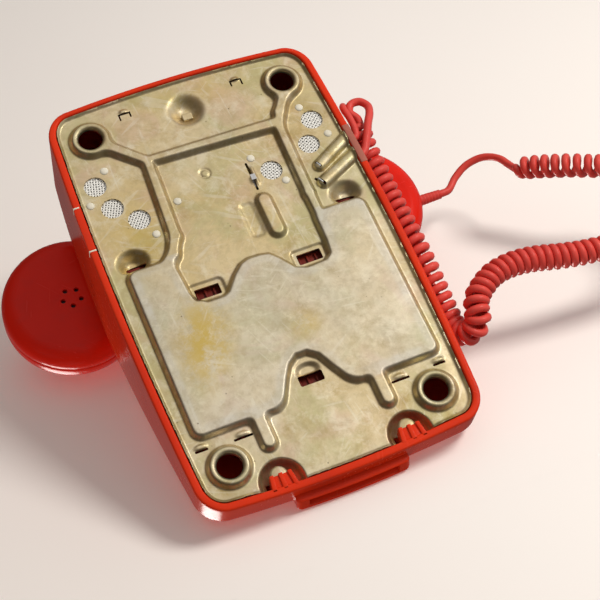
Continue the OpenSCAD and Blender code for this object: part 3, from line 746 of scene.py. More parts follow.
# Outlines (x, y) cut from the pad at its rear and front edges
PAD_REAR_CUT = [
    (-28.0, 40), (-33.9, 16), (-33.2, -2), (-32.4, -8.2), (-29.4, -10.8), (-20.0, -11.2),
    (-15.0, -9.2), (-10.2, -2.4), (-6.6, 1.6), (-2.0, 2.6), (4.0, 2.6), (8.0, 1.2),
    (13.0, -3.2), (18.6, -10.2), (21.4, -11.6), (29.2, -11.6), (33.4, -8.8), (34.9, -5.0),
    (36.0, 9.4), (34.8, 12.2), (29.6, 18.5), (26, 40)]
PAD_FRONT_CUT = [
    (-16.4, -80), (-16.4, -71.6), (-10.4, -61.0), (-7.0, -54.0), (-2.6, -50.6), (2.6, -50.6),
    (7.0, -54.0), (10.4, -59.4), (16.8, -71.6), (16.8, -80)]
# Ribs as chains of (x, y, half width)
RIBS = [
    [(-36.6, 8, 2.4), (-36.6, 25, 2.6), (-37.6, 64.0, 2.6), (-41.0, 71.6, 2.8),
     (-46.4, 79.5, 2.9)],
    [(42.0, 10.5, 2.9), (35.0, 16.5, 2.9), (30.8, 25, 3.0), (28.4, 66.6, 2.6)],
    [(-36.9, 66.4, 3.0), (27.6, 67.9, 2.2)],
    [(28.6, 67.9, 2.6), (43, 81.5, 2.9)],
    [(-46.4, 79.5, 2.9), (-48.4, 84.0, 3.0)],
    [(43, 81.5, 2.9), (46.5, 85.0, 3.0)]]
FRONT_RIBS_X = (-27.6, 29.3)
# Two channels to the left edge, where the cords run
CHANNELS = [((-47.6, 37.6), (-67.0, 48.4)), ((-45.8, 28.4), (-67.5, 38.6))]
CHANNEL_R = 3.5
# Short cross cuts near the front: x, y, half length
LANCES = [(57.6, -76.6, 3.0), (38.5, -77.4, 4.4), (-37.0, -77.4, 4.4), (-56.6, -76.6, 3.0)]
# Lips pressed down behind the cuts: x, y, depth, x radius, y radius, start behind y
LIPS = [(x, y, 0.7, 4.0, 1.7, 0.2) for x, y, _ in LANCES]
LIPS += [(29, 96.8, 0.8, 3.0, 1.8, 0), (-28.2, 96.0, 0.8, 3.0, 1.8, 0)]
# Slots: x0, x1, y0, y1, corner radius
SLOTS = [(20.6, 32.6, -8.5, -3.1, 0.6), (-29.8, -18.0, -8.3, -2.9, 0.6),
         (-5.8, 5.8, -65.0, -59.9, 0.8), (-15.7, -14.5, 35.6, 51.3, 0.4)]
OVAL_X, OVAL_Y = 52.4, 17.9
# Hooked cuts near the rear edge: side, x, y; and their shape on the right
HOOK_CUTS = [(1, 29.4, 96.0), (-1, -28.6, 95.8)]
HOOK_CUT = [(-3.4, 1.9), (-3.4, -1.3), (-2.6, -1.3), (-2.6, 0.9), (2.0, 0.9), (2.0, -1.9),
            (2.8, -1.9), (2.8, 1.7), (-2.7, 1.7), (-2.7, 1.9)]
# Cord clamps: x, y, cut half length, cut half width, tab half length
CLAMPS = [(-44.4, 29.2, 3.3, 0.65, 1.7), (-46.9, 37.6, 1.9, 0.6, 1.5)]
CLAMP_ANGLE = math.radians(62)
EDGE = rear_shift(barrel(4.1), REAR_SHIFT)


def plate_relief(x, y):
    """Signed distance to the parts that stand down."""
    relief = to_box(x, y, *PAD)
    relief = smooth_max(relief, -to_polygon(x, y, PAD_REAR_CUT), 5.0)
    relief = smooth_max(relief, -to_polygon(x, y, PAD_FRONT_CUT), 5.0)
    for chain in RIBS:
        for a, b in zip(chain[:-1], chain[1:]):
            relief = smooth_min(relief, to_bar(x, y, a, b, a[2], b[2]), 1.2)
    for rib_x in FRONT_RIBS_X:
        relief = smooth_min(relief, to_bar(x, y, (rib_x, -68), (rib_x, -84.0), 3.3), 3.0)
    for fx, fy in FEET:
        relief = smooth_min(relief, np.hypot(x - fx, y - fy) - 9.2, 3.0)
    return relief


def plate_z(x, y):
    """Height of the pressing's lower face."""
    z = FIELD_Z * smoothstep((plate_relief(x, y) + 1.3) / 2.9)
    # broad round-ended bead
    bead = to_bar(x, y, (-15.4, 12.5), (-15.4, 29.0), 3.6)
    z = z - 2.2 * fade_out((bead + 1.4) / 2.8)
    for start, end in CHANNELS:
        across = to_bar(x, y, start, end, 0.0)
        z = z - 2.6 * dome(across / CHANNEL_R) * smoothstep(3.6 - across)
    # collars roll up into the foot holes
    for fx, fy in FEET:
        r = np.hypot(x - fx, y - fy)
        z = np.where(r < 7.6, z + 1.9 * (1 - dome((7.6 - r) / 2.0)), z)
    # screw dimple at the rear, with a flat bottom
    r = np.hypot(x - 0.4, y - 89.6)
    z = z + 4.2 * fade_out((r - 1.5) / 8.9)
    for side in (-1, 1):
        # dome behind a front tongue of the case
        r = np.hypot(x - side * TONGUE_X, (y + 102.4) * 0.96)
        z = z + 6.6 * dome(r / 10.6) * smoothstep((11.2 - r) / 2.6)
        # half-dome scoop behind the pad
        r = np.hypot((x - side * 53.2) / 8.6, (y - 19.9) / 7.4)
        z = z + 4.8 * fade_out((r - 0.15) / 0.9) * smoothstep((y - 14.9) / 1.8)
    # shallow box depression
    z = z + 0.75 * fade_out((to_box(x, y, -9.6, -3.4, 12.6, 30.7, 1.8) + 1.4) / 2.8)
    # lip beside the narrow slot
    lip = np.exp(-((x + 16.6) / 0.9) ** 2)
    z = z - 0.8 * lip * smoothstep((y - 37) / 3) * smoothstep((50 - y) / 3)
    # small ring
    r = np.hypot(x - 5.0, y - 52.8)
    z = z + 0.5 * np.exp(-((r - 2.3) / 0.6) ** 2)
    # lifted tab behind the front slot
    r = np.hypot(x / 6.0, (y + 58.2) / 4.0)
    z = z + 1.6 * fade_out((r - 0.5) / 0.6) * smoothstep((y + 60.4) / 1.2)
    # lifted surround of the two wide slots
    for slot_x in (26.6, -23.9):
        around = to_box(x, y, slot_x - 7.6, slot_x + 7.6, -9.6, -1.4, 1.5)
        z = z + 0.9 * fade_out((around + 0.3) / 1.8)
    for lx, ly, depth, rx, ry, start in LIPS:
        r = np.hypot((x - lx) / rx, (y - ly - 1.6) / ry)
        z = z - depth * fade_out((r - 0.3) / 0.7) * smoothstep((y - ly - start) / 0.5)
    # the edge turns down, except around the front tongues
    edge = to_polygon(x, y, EDGE)
    beyond = (np.abs(np.abs(x) - TONGUE_X) - 8.0) / 6.0 + (y > 0) * 9
    z = z - 1.3 * fade_out((-edge) / 1.5) * smoothstep(beyond)
    return (z + wobble(x, y, seed=3, wave=60, height=0.16) * smoothstep(-edge / 8)
            + wobble(x, y, seed=5, wave=18, height=0.03))


def plate_outline():
    """Plate edge with two straight-sided notches for the case's front tongues."""
    notch_y, steps = -100.2, 40

    def in_notch(x, y):
        return y < 0 and abs(abs(x) - TONGUE_X) < 6.9

    outline = []
    for i, (xa, ya) in enumerate(EDGE):
        xb, yb = EDGE[(i + 1) % len(EDGE)]
        was_in = in_notch(xa, ya)
        if not was_in:
            outline.append((xa, ya))
        for k in range(1, steps + 1):
            x, y = xa + (xb - xa) * k / steps, ya + (yb - ya) * k / steps
            now_in = in_notch(x, y)
            if now_in != was_in:
                pair = [(x, y), (x, notch_y)]
                outline += pair if now_in else pair[::-1]
            was_in = now_in
    return outline


def plate_holes():
    holes = [circle_loop(x, y, FOOT_HOLE_R, 72) for x, y in FEET]
    holes += [circle_loop(x, y, VENT_HOLE_R, 60) for x, y in VENTS]
    holes += [rect_loop(*slot, 3) for slot in SLOTS]
    turns = np.linspace(0, 2 * math.pi, 28, endpoint=False)
    holes += [[(side * OVAL_X + 4.9 * math.cos(t), OVAL_Y + 1.9 * math.sin(t)) for t in turns]
              for side in (-1, 1)]
    holes += [rect_loop(x - half, x + half, y - 0.6, y + 0.5, 0.3, 2) for x, y, half in LANCES]
    for side, cx, cy in HOOK_CUTS:
        holes.append([(cx + side * x, cy + y) for x, y in HOOK_CUT][::side])
    for x, y, w, h, _ in CLAMPS:
        holes.append(turn([(-w, -h), (w, -h), (w, h), (-w, h)], CLAMP_ANGLE, x, y))
    return [densify(hole, 0.7) for hole in holes]


# Stained areas: strength, x, y, x radius, y radius, slant, power of the falloff
STAINS = [(1, 38, -30, 13, 20, 0.5, 1.5), (0.7, -8, -38, 7, 6, 0, 1),
          (0.6, 45, 30, 14, 18, 0, 1), (0.45, -5, 98, 30, 9, 0, 1)]


def build_plate():
    step = 0.62
    flat, tris, loops = fill(densify(plate_outline(), 0.8), plate_holes(), step)
    x, y = flat.T
    z = plate_z(x, y)
    geo = Geo((at_height(flat, z), tris[:, ::-1]), (at_height(flat, z + SHEET), tris))
    for k, loop in enumerate(loops):
        geo.faces += bridge(loop, loop + len(flat), UNWOUND if k else WOUND)
    plate = make("base_plate_pressing", geo, M_PLATE, replaces="base_plate", slot="zinc_plate",
                 sharp=50)
    stain = 0
    for strength, cx, cy, rx, ry, slant, power in STAINS:
        spread = ((x - cx) / rx) ** 2 + ((y - cy + slant * (x - cx)) / ry) ** 2
        stain = stain + strength * np.exp(-spread ** power)
    # wear: the whole relief a little, the rim of the pad most
    relief, pad = plate_relief(x, y), to_box(x, y, *PAD)
    wear = fade_out((relief + 1.2) / 1.4) * np.where(pad < 0, 0.55, 0.2)
    wear = wear + 0.75 * np.exp(-((relief + 2.6) / 2.0) ** 2) * (pad < 1)
    for name, values in (("stain", stain), ("wear", np.clip(wear, 0, 1))):
        layer = plate.data.attributes.new(name, "FLOAT", "POINT")
        layer.data.foreach_set("value", np.r_[values, values].astype(np.float32))


build_plate()

# ------------------------------------------------------------------ case
DIAL_Y = -50.0
DIAL_Z = FRONT_H + (DIAL_Y + 109.1) * math.tan(SLOPE)
FILLET = 7.0
INNER = WALL + 0.9
WALL_RISE = 1.1
# Rounded foot of the wall, from the inside out: inset, height above RIM_Z
CASE_FOOT = [(INNER, 3.2), (INNER - 0.1, 0.7), (INNER - 0.5, 0.15), (INNER - 1.0, 0),
             (1.0, 0), (0.45, 0.15), (0.12, 0.5), (0.0, WALL_RISE)]
DIAL_HOLE_R = 41.0
# Lip and wall of the dial opening: radius, height in the dial's frame
DIAL_LIP = [(40.7, -0.15), (40.4, -0.6), (40.3, -1.4), (40.3, -7.0)]
DIAL_TURNS = np.linspace(0, 2 * math.pi, 160, endpoint=False)


def top_z(x, y):
    """Top of the case: sloping front, level rear that drops off, slight crown across."""
    slope = FRONT_H + (y + 109.1) * math.tan(SLOPE)
    z = smooth_min(slope, 61.4 + 0 * y, 6.0)
    z = np.minimum(z, 61.6 - 0.0083 * np.maximum(y - 58, 0) ** 2)
    return z - 0.9 * (x / 70.0) ** 2


def from_dial(points):
    """Points in the dial's tilted frame to the product's frame."""
    x, y, z = np.asarray(points, float).T
    c, s = math.cos(SLOPE), math.sin(SLOPE)
    return np.c_[x, DIAL_Y + y * c - z * s, DIAL_Z + y * s + z * c]


def dial_opening(r):
    c = math.cos(SLOPE)
    return [(r * math.cos(t), DIAL_Y + r * c * math.sin(t)) for t in DIAL_TURNS]


def case_shell():
    geo = Geo()
    rows = []
    for inset, rise in CASE_FOOT:
        shift = REAR_SHIFT * max(0.0, min(1.0, (inset - 1.5) / 1.2))
        rows.append(geo.add(at_height(rear_shift(barrel(inset), shift), RIM_Z + rise)))
    wall = np.array(barrel(0))
    crest = top_z(*wall.T)
    for k in range(1, 9):
        rise = (crest - FILLET - RIM_Z - WALL_RISE) * k / 8
        rows.append(geo.add(at_height(wall, RIM_Z + WALL_RISE + rise)))
    for k in range(1, 11):
        t = math.radians(90 * k / 10)
        loop = np.array(barrel(FILLET * (1 - math.cos(t))))
        rows.append(geo.add(at_height(loop, top_z(*loop.T) - FILLET + FILLET * math.sin(t))))
    for a, b in zip(rows[:-1], rows[1:]):
        geo.faces += bridge(a, b, WOUND)
    # top skin
    flat, tris, loops = fill(barrel(FILLET), [dial_opening(DIAL_HOLE_R)], 2.6)
    start = geo.add(at_height(flat, top_z(*flat.T)), tris).start
    geo.faces += bridge(rows[-1], start + loops[0], WOUND)
    # dial opening
    lip = start + loops[1]
    for r, z in DIAL_LIP:
        ring = [(r * math.cos(t), r * math.sin(t), z) for t in DIAL_TURNS]
        row = geo.add(from_dial(ring))
        geo.faces += bridge(lip, row, UNWOUND)
        lip = row
    # inside skin, with a pocket above the hook lever and its bracket
    flat, tris, loops = fill(barrel(INNER), [dial_opening(38.0)], 4.0)
    x, y = np.abs(flat[:, 0]), flat[:, 1]
    behind = smoothstep((53.5 - y) / 5.0)
    lever = smoothstep((46.0 - x) / 5.5) * smoothstep((y - 29.5) / 5.0) * behind
    bracket = smoothstep((20.0 - x) / 6.0) * smoothstep((y - 10.0) / 5.0) * behind
    top = top_z(*flat.T)
    z = np.minimum(top - WALL - 1.2 + 2.1 * np.maximum(lever, bracket), top - 1.4)
    start = geo.add(at_height(flat, z), tris[:, ::-1]).start
    geo.faces += bridge(rows[0], start + loops[0], UNWOUND)
    geo.faces += bridge(lip, start + loops[1], "abBA")
    return geo


case = make("case_shell", case_shell(), M_RED, replaces="housing", slot="red_case")
tidy(case, weld=0.02, collapse=0.002)
smooth_all(case.data)
with edited(case) as case_bm:
    mark_sharp(case_bm, 40)

# ------------------------------------------------------------------ cradle
CRADLE_Y = 43.0
# Profiles in the y, z plane: y, z, corner radius
EAR = [(8.5, 58, 0), (12.5, 69, 10), (19.5, 84, 10), (24.4, 92.2, 1.6), (28.2, 92.2, 1.6),
       (29.8, 80.2, 3.0), (CRADLE_Y, 77.0, 40), (56.2, 80.2, 3.0), (57.8, 92.2, 1.6),
       (61.6, 92.2, 1.6), (66.5, 84, 10), (73.5, 69, 10), (77.5, 58, 0), (53, 58, 0),
       (53, 60.2, 0), (32, 60.2, 0), (32, 58, 0)]
HUMP = [(8.8, 58, 0), (14, 69.6, 7), (72, 69.6, 7), (77.2, 58, 0), (53, 58, 0), (53, 60.2, 0),
        (32, 60.2, 0), (32, 58, 0)]


def round_corners(corners, n):
    """Rounds each (x, y, radius) corner with n steps."""
    points = []
    for i, (x, y, radius) in enumerate(corners):
        p = np.array((x, y), float)
        to_last = np.array(corners[i - 1][:2], float) - p
        to_next = np.array(corners[(i + 1) % len(corners)][:2], float) - p
        len_last, len_next = np.linalg.norm(to_last), np.linalg.norm(to_next)
        to_last, to_next = to_last / len_last, to_next / len_next
        angle = math.acos(max(-1, min(1, to_last @ to_next)))
        cut = min(radius / math.tan(angle / 2), 0.48 * len_last, 0.48 * len_next)
        if cut < 1e-3:
            points.append(tuple(p))
            continue
        for k in range(n + 1):
            t = k / n
            points.append(tuple((1 - t) ** 2 * (p + to_last * cut) + 2 * t * (1 - t) * p
                                + t ** 2 * (p + to_next * cut)))
    return points


def prism_x(profile, x0, x1, edge, steps):
    """Solid from a y, z profile between x0 and x1 with rounded rims."""
    loop = np.array(profile, float)
    y, z = loop.T
    if 0.5 * np.sum(y * np.roll(z, -1) - np.roll(y, -1) * z) < 0:
        loop = loop[::-1]
    along = np.roll(loop, -1, 0) - np.roll(loop, 1, 0)
    along /= np.linalg.norm(along, axis=1)[:, None]
    outward = np.c_[along[:, 1], -along[:, 0]]
    rim = []
    for k in range(steps + 1):
        t = math.radians(90 * k / steps)
        rim.append((edge * (1 - math.sin(t)), edge * (1 - math.cos(t))))
    stations = [(inset, x0 + dx) for inset, dx in rim]
    stations += [(inset, x1 - dx) for inset, dx in rim[::-1]]
    geo = Geo()
    rows = []
    for inset, x in stations:
        rows.append(geo.add(np.c_[np.full(len(loop), x), loop - outward * inset]))
    for a, b in zip(rows[:-1], rows[1:]):
        geo.faces += bridge(a, b, WOUND)
    flat = loop - outward * edge
    for tri in tessellate_polygon([[Vector((float(a), float(b), 0.0)) for a, b in flat]]):
        geo.faces.append(tuple(rows[0][k] for k in tri))
        geo.faces.append(tuple(rows[-1][k] for k in tri)[::-1])
    return geo.block()


ear = round_corners(EAR, 7)
hump = round_corners(HUMP, 10)
make_joined("cradle_ears", [
    prism_x(ear, -41, -29, edge=1.0, steps=5),
    prism_x(ear, 29, 41, edge=1.0, steps=5),
    prism_x(hump, -30, 30, edge=1.0, steps=4)], M_RED, slot="red_case", sharp=35)


# ------------------------------------------------------------------ hooks, tongues and tabs
def inner_hooks():
    """Blocks behind the plate's oval holes and three of its slots."""
    blocks = []
    for side in (-1, 1):
        cx = side * OVAL_X
        blocks.append(box(cx - 4.4, cx + 4.4, 16.4, 19.4, 8.2, 13.0))
    for x0, x1, y0, y1 in ((-7.0, 7.0, -66.0, -59.0), (19.5, 33.8, -9.6, -2.0),
                           (-31.0, -17.0, -9.4, -2.0)):
        blocks.append(box(x0, x1, y0, y1, 7.6, 8.6))
        for k in range(3):
            rib_x = x0 + (x1 - x0) * (k + 0.7) / 3.4
            blocks.append(box(rib_x, rib_x + 1.1, y0 + 1, y1 - 1, 6.6, 7.7))
    return blocks


def tongues():
    """Two tongues in the plate's front notches, each with three ribs below it."""
    blocks = []
    for cx in (-TONGUE_X, TONGUE_X):
        blocks.append(wedge(cx, 6.2, 5.0, -106.2, -99.2, RIM_Z + 0.85, RIM_Z + 6.0))
        for i in (-1, 0, 1):
            verts, faces = wedge(0, 1.15, 0.95, -106.3, -98.7, RIM_Z, RIM_Z + 3.4)
            verts = np.array(verts)
            verts[:, 0] += cx + i * np.where(verts[:, 1] < -103, 5.1, 4.1)
            blocks.append((verts, faces))
    return blocks


def clamp_tabs():
    """Small tabs standing in the clamp cuts beside the cord channels."""
    blocks = []
    for x, y, _, _, half in CLAMPS:
        verts, faces = box(-half, half, -0.5, 0.5, 0.6, 4.0)
        verts = np.array(verts)
        verts[:, :2] = turn(verts[:, :2], CLAMP_ANGLE, x, y)
        blocks.append((verts, faces))
    return blocks


# the hooks take the darkened case red, painted shade inside the holes and slots
make_joined("case_inner_hooks", inner_hooks(), M_SHADED_RED, rounding=0.3, slot="handset_red")
make_joined("case_tongues", tongues(), M_RED, rounding=0.35, slot="red_case")
TAB_PROFILE = [(0, 2.4), (2.9, 2.45), (3.8, 2.7), (4.0, 3.1), (3.8, 3.5), (0, 3.6)]
tabs = [lathe(TAB_PROFILE, 40, (cx + 0.4, -98.9, 0)) for cx in (-TONGUE_X, TONGUE_X)]
make("plate_tabs", Geo(*tabs), M_PLATE, slot="zinc_plate", sharp=50)
make_joined("cord_clamp_tabs", clamp_tabs(), M_STEEL, rounding=0.3, slot="bright_steel")

# ------------------------------------------------------------------ carrying lip on the front
GRIP_HALF = 27.0
GRIP_OPEN = 21.5  # half width of the hollow in its front face
GRIP_Z0, GRIP_Z1 = 9.4, 15.6
HOLLOW_Y = -109.9


def grip_section(x):
    """Twelve (y, z) points of the lip's section at x."""
    full = smoothstep((GRIP_HALF - abs(x)) / 1.4)
    front = 330 - math.sqrt(444.4 ** 2 - x * x) + 1.3 * (1 - full)
    wall = -(HALF_L - end_taper(x)) + 0.35
    low, high = GRIP_Z0 + 0.5 * (1 - full), GRIP_Z1 - 0.5 * (1 - full)
    foot = front + 1.9

    def face_y(z):
        return foot + (front - foot) * (z - low) / (high - low)

    if abs(x) > GRIP_OPEN + 0.05:
        middle = [(face_y(z), z) for z in (10.2, 10.7, 14.0, 14.5)]
    else:
        middle = [(face_y(10.2) + 0.2, 10.15), (HOLLOW_Y, 10.5), (HOLLOW_Y, 14.3),
                  (face_y(14.5) + 0.2, 14.6)]
    return [(wall, low), (foot + 0.7, low), (foot + 0.15, low + 0.1),
            (face_y(low + 0.4), low + 0.4), *middle, (face_y(high - 0.5), high - 0.5),
            (front + 0.3, high - 0.12), (front + 0.9, high), (wall, high)]


def grip_lip():
    xs = np.r_[np.linspace(-GRIP_HALF, -21.6, 7), np.linspace(-GRIP_OPEN, GRIP_OPEN, 40),
               np.linspace(21.6, GRIP_HALF, 7)]
    geo = Geo()
    rows = [geo.add([(x, y, z) for y, z in grip_section(x)]) for x in xs]
    for a, b in zip(rows[:-1], rows[1:]):
        geo.faces += bridge(a, b, WOUND)
    geo.faces += [tuple(rows[0])[::-1], tuple(rows[-1])]
    return geo.block()


make_joined("front_grip_lip", [grip_lip(), box(-23.8, 23.8, -109.4, -104.3, 11.5, 13.5)], M_RED,
            replaces="front_grip", slot="handset_red", sharp=40)


# ------------------------------------------------------------------ inserts in the side walls
def side_strip(name, side, mat, replaces, slot):
    """Slightly proud strip that follows the wall; side is 1 on the right, -1 on the left."""
    count = 14
    ys = np.linspace(31.5, 53.9, count)
    outer = [side * (HALF_W - side_taper(y) + 0.12) for y in ys]
    inner = [side * (HALF_W - side_taper(y) - 3.3) for y in ys]
    geo = Geo()
    low_out, low_in, high_out, high_in = [
        geo.add(at_height(np.c_[xs, ys], z))
        for z in (RIM_Z - 0.15, 8.2) for xs in (outer, inner)]
    for i in range(count - 1):
        j = i + 1
        geo.faces += [
            (low_out[i], low_out[j], low_in[j], low_in[i]),
            (high_out[i], high_in[i], high_in[j], high_out[j]),
            (low_out[i], high_out[i], high_out[j], low_out[j]),
            (low_in[i], low_in[j], high_in[j], high_in[i])]
    geo.faces += [(low_out[0], low_in[0], high_in[0], high_out[0]),
                  (low_out[-1], high_out[-1], high_in[-1], low_in[-1])]
    make_joined(name, [geo.block()], mat, rounding=0.3, replaces=replaces, slot=slot)


side_strip("side_insert_blank", 1, M_RED, "side_blank", "red_case")
side_strip("side_insert_cords", -1, M_PORT, "cord_port", "grey_plastic")
# thin ivory slips at both ends of the right-hand insert
slips = [box(66.6, HALF_W - side_taper(y) + 0.08, y - 0.38, y + 0.38, RIM_Z - 0.2, 6.0)
         for y in (30.9, 54.6)]
make_joined("insert_tabs", slips, M_IVORY, rounding=0.15, slot="ivory_plastic")

# ------------------------------------------------------------------ vents and rivets
WEAVE_R, WEAVE_PITCH, THREAD_R = 6.2, 1.28, 0.40


def weave():
    """Two crossing sets of wavy threads over each vent."""
    geo = Geo()
    reach = int(WEAVE_R / WEAVE_PITCH)
    for index, (vx, vy) in enumerate(VENTS):
        for way in (0, 1):
            for k in range(-reach, reach + 1):
                offset = k * WEAVE_PITCH + 0.2
                half = math.sqrt(WEAVE_R * WEAVE_R - offset * offset)
                along = np.linspace(-half, half, int(2 * half / 0.35))
                wave = np.sin(along * math.pi / WEAVE_PITCH + math.pi * (k + way))
                z = FIELD_Z + SHEET + 0.25 + 0.17 * wave * (1 if way else -1)
                across = np.full(len(along), offset)
                flat = np.c_[across, along] if way else np.c_[along, across]
                path = at_height(turn(flat, 0.25 + 0.2 * index, vx, vy), z)
                geo.add(*tube(path, THREAD_R, 6))
    return geo


make("vent_weave", weave(), M_MESH, replaces="vent_mesh", slot="mesh_cloth")
# black discs inside the vents are painted shade, standing in for the dark inside of the case
discs = [lathe([(0.0, 0), (6.9, 0), (6.9, 0.3), (0.0, 0.3)], 40, (x, y, FIELD_Z + SHEET + 0.9))
         for x, y in VENTS]
make("vent_shade_discs", Geo(*discs), M_BLACK, slot="black_plastic", sharp=40)
RIVET_PROFILE = [(0, -0.75), (0.7, -0.72), (1.4, -0.55), (1.85, -0.25), (2.05, 0.1),
                 (1.2, 0.12), (1.2, 1.2)]
rivets = [lathe(RIVET_PROFILE, 28, (x, y, float(plate_z(np.array([x]), np.array([y]))[0])))
          for x, y in RIVETS]
make("vent_rivets", Geo(*rivets), M_IVORY, replaces="mesh_rivets", slot="ivory_plastic")

# ------------------------------------------------------------------ case screw
SCREW_PROFILE = [(0, 8.2), (2.2, 8.2), (2.9, 8.3), (3.2, 8.7), (3.2, 9.6), (1.6, 9.6), (1.6, 21)]
make("case_screw_head", Geo(lathe(SCREW_PROFILE, 48, (0, 89.5, 0))), M_PLATE,
     replaces="case_screw", slot="bright_steel", sharp=40)
well_tab = make("screw_well_tab", Geo(box(-2.0, 3.2, 85.0, 88.8, 4.9, 7.2)), M_PLATE,
                slot="zinc_plate", smooth=False)
bevel(well_tab, 0.5)

# ------------------------------------------------------------------ coiled cord
COIL_R, WIRE_R, COIL_PITCH = 4.3, 2.0, 4.35
# Curve points x, y, z: the coil's centre line, then the straight ends before and after it
COIL_POINTS = [
    (-77.6, 56.5, 11), (-76.3, 48, 12.5), (-76.6, 38, 14.8), (-77, 25, 16), (-77.1, 10, 16),
    (-77.1, -8, 16), (-77.1, -22, 16.2), (-77.1, -36, 17.5), (-77.1, -48, 19.2),
    (-77.1, -56, 19.6), (-78.5, -61.3, 17.9), (-81.9, -63.5, 13.9), (-85.3, -61.2, 9.8),
    (-86.7, -56, 8), (-89.2, -51.4, 7.1), (-94.2, -47.2, 7), (-101.6, -43.2, 7),
    (-111.4, -41.6, 7), (-122.7, -42.5, 7), (-136, -45.8, 7), (-151, -48.5, 7),
    (-180, -51, 7), (-204, -43, 8.5), (-216, -26, 13), (-214, -9, 20), (-205, -1, 25),
    (-195.7, 0, 28), (-189.5, 5, 33), (-181.3, 12.4, 39), (-170.8, 21.6, 48),
    (-165.4, 26, 53), (-161.6, 28.4, 56.6)]
LEAD_IN = [
    (-63.2, 37.5, 4.6), (-67, 37.5, 4.6), (-71.2, 38.0, 4.6), (-75.2, 43.5, 4.4),
    (-80.5, 53.0, 5.0), (-84.5, 59.5, 7.0), (-86.2, 65.0, 9.5), (-84.0, 69.4, 11.0),
    (-79.4, 69.6, 11.5), (-77.0, 65.5, 11.5), (-79.0, 60.5, 11.0)]
LEAD_OUT = [
    (-162.8, 35, 62), (-161.3, 43.5, 67), (-155.5, 49.2, 71.6), (-147, 49.8, 75.6),
    (-139, 46, 78.3), (-133, 40.9, 79), (-128, 40, 79), (-116, 40, 79), (-104, 40, 79)]


def columns_at(at, known, values):
    """Interpolates each column of values."""
    return np.array([np.interp(at, known, column) for column in values.T]).T


def coil_path():
    raw = catmull(COIL_POINTS, 16)
    raw_length = np.r_[0, np.cumsum(np.linalg.norm(np.diff(raw, axis=0), axis=1))]
    length = np.linspace(0, raw_length[-1], max(2, int(raw_length[-1] / 0.25) + 1))
    centre = columns_at(length, raw_length, raw)
    first, second = carried_frame(centre)
    total = length[-1]
    # the pitch varies a little and stretches towards the handset
    stretch = 1 + 0.06 * np.sin(length / 37.0) + 0.05 * np.sin(length / 11.0 + 1)
    stretch = stretch * (1 + 0.13 * fade_out((length - 95) / 30)
                         + 0.30 * smoothstep((length - total + 90) / 40))
    turns_at = np.cumsum(np.r_[0, np.diff(length) / (COIL_PITCH * stretch[1:])])
    per_turn = 20
    turns = np.linspace(0, turns_at[-1], int(turns_at[-1] * per_turn))
    at = np.interp(turns, turns_at, length)
    ends = np.minimum(smoothstep(at / 5.0), smoothstep((total - at) / 5.0))
    radius = COIL_R * (0.25 + 0.75 * ends) + 0.12 * np.sin(at / 9.0)
    angle = 2 * math.pi * turns
    path = columns_at(at, length, centre) + radius[:, None] * (
        np.cos(angle)[:, None] * columns_at(at, length, first)
        + np.sin(angle)[:, None] * columns_at(at, length, second))
    # keep the wire above z = 0
    path[:, 2] = np.maximum(path[:, 2], WIRE_R + 0.3)
    lead_in = catmull([*LEAD_IN, tuple(path[0])], 10)
    lead_out = catmull([tuple(path[-1]), *LEAD_OUT], 8)
    return np.vstack([lead_in[:-1], path, lead_out[1:]])


coil = make("coiled_cord", Geo(tube(coil_path(), WIRE_R, 10)), M_CORD, body=None,
            replaces="coil_cord", slot="cord_red")
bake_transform(coil)

# ------------------------------------------------------------------ handset
CUP_X, CUP_Z, CUP_R = 78.0, 62.5, 35.0  # cup centres at x = +-CUP_X, faces at CUP_Z
HANDLE_R, HANDLE_Z = 135.6, -38.5  # arc of the handle and the height of its centre
CAP_FACE_R, CAP_HOLE_R = 26.0, 1.25


def cup(side):
    """Closed cup above the screwed ring."""
    profile = [(0, CUP_Z + 9.9), (CUP_R - 4, CUP_Z + 9.9), (CUP_R - 0.6, CUP_Z + 9.9),
               (CUP_R - 0.15, CUP_Z + 10.0), (CUP_R, CUP_Z + 10.3), (CUP_R, CUP_Z + 14.5)]
    profile += arc(CUP_R - 10, CUP_Z + 14.5, 10, 6, 90, 12)
    profile += [(CUP_R - 20, CUP_Z + 24.9), (0, CUP_Z + 25.6)]
    return lathe(profile, 96, (side * CUP_X, CRADLE_Y, 0))


def handle():
    """Squarish bar on an arc, wider where it meets the cups."""
    power = 2 / 3.2
    path, sections = [], []
    for i in range(61):
        t = math.radians(-33 + 66 * i / 60)
        path.append((HANDLE_R * math.sin(t), CRADLE_Y, HANDLE_Z + HANDLE_R * math.cos(t)))
        out = abs(i - 30) / 30.0
        sections.append(super_oval(13.0 + 2.2 * out ** 3, 10.9 + 0.2 * out ** 3, power, power, 48))
    return sweep(path, sections)


def build_handset():
    """Cups and handle fused by a voxel remesh."""
    ob = make("handset_shell", Geo(cup(-1), cup(1), handle()), M_HAND, body=None)
    tidy(ob)
    remesh = ob.modifiers.new("remesh", "REMESH")
    remesh.mode = "VOXEL"
    remesh.voxel_size = 0.85 * MM
    remesh.use_smooth_shade = True
    relax = ob.modifiers.new("smooth", "SMOOTH")
    relax.factor = 0.5
    relax.iterations = 14
    graph = bpy.context.evaluated_depsgraph_get()
    mesh = bpy.data.meshes.new_from_object(ob.evaluated_get(graph))
    ob.modifiers.clear()
    ob.data = mesh
    mesh.name = ob.name
    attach(ob, "handset")
    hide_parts("handset_body")
    smooth_all(mesh)


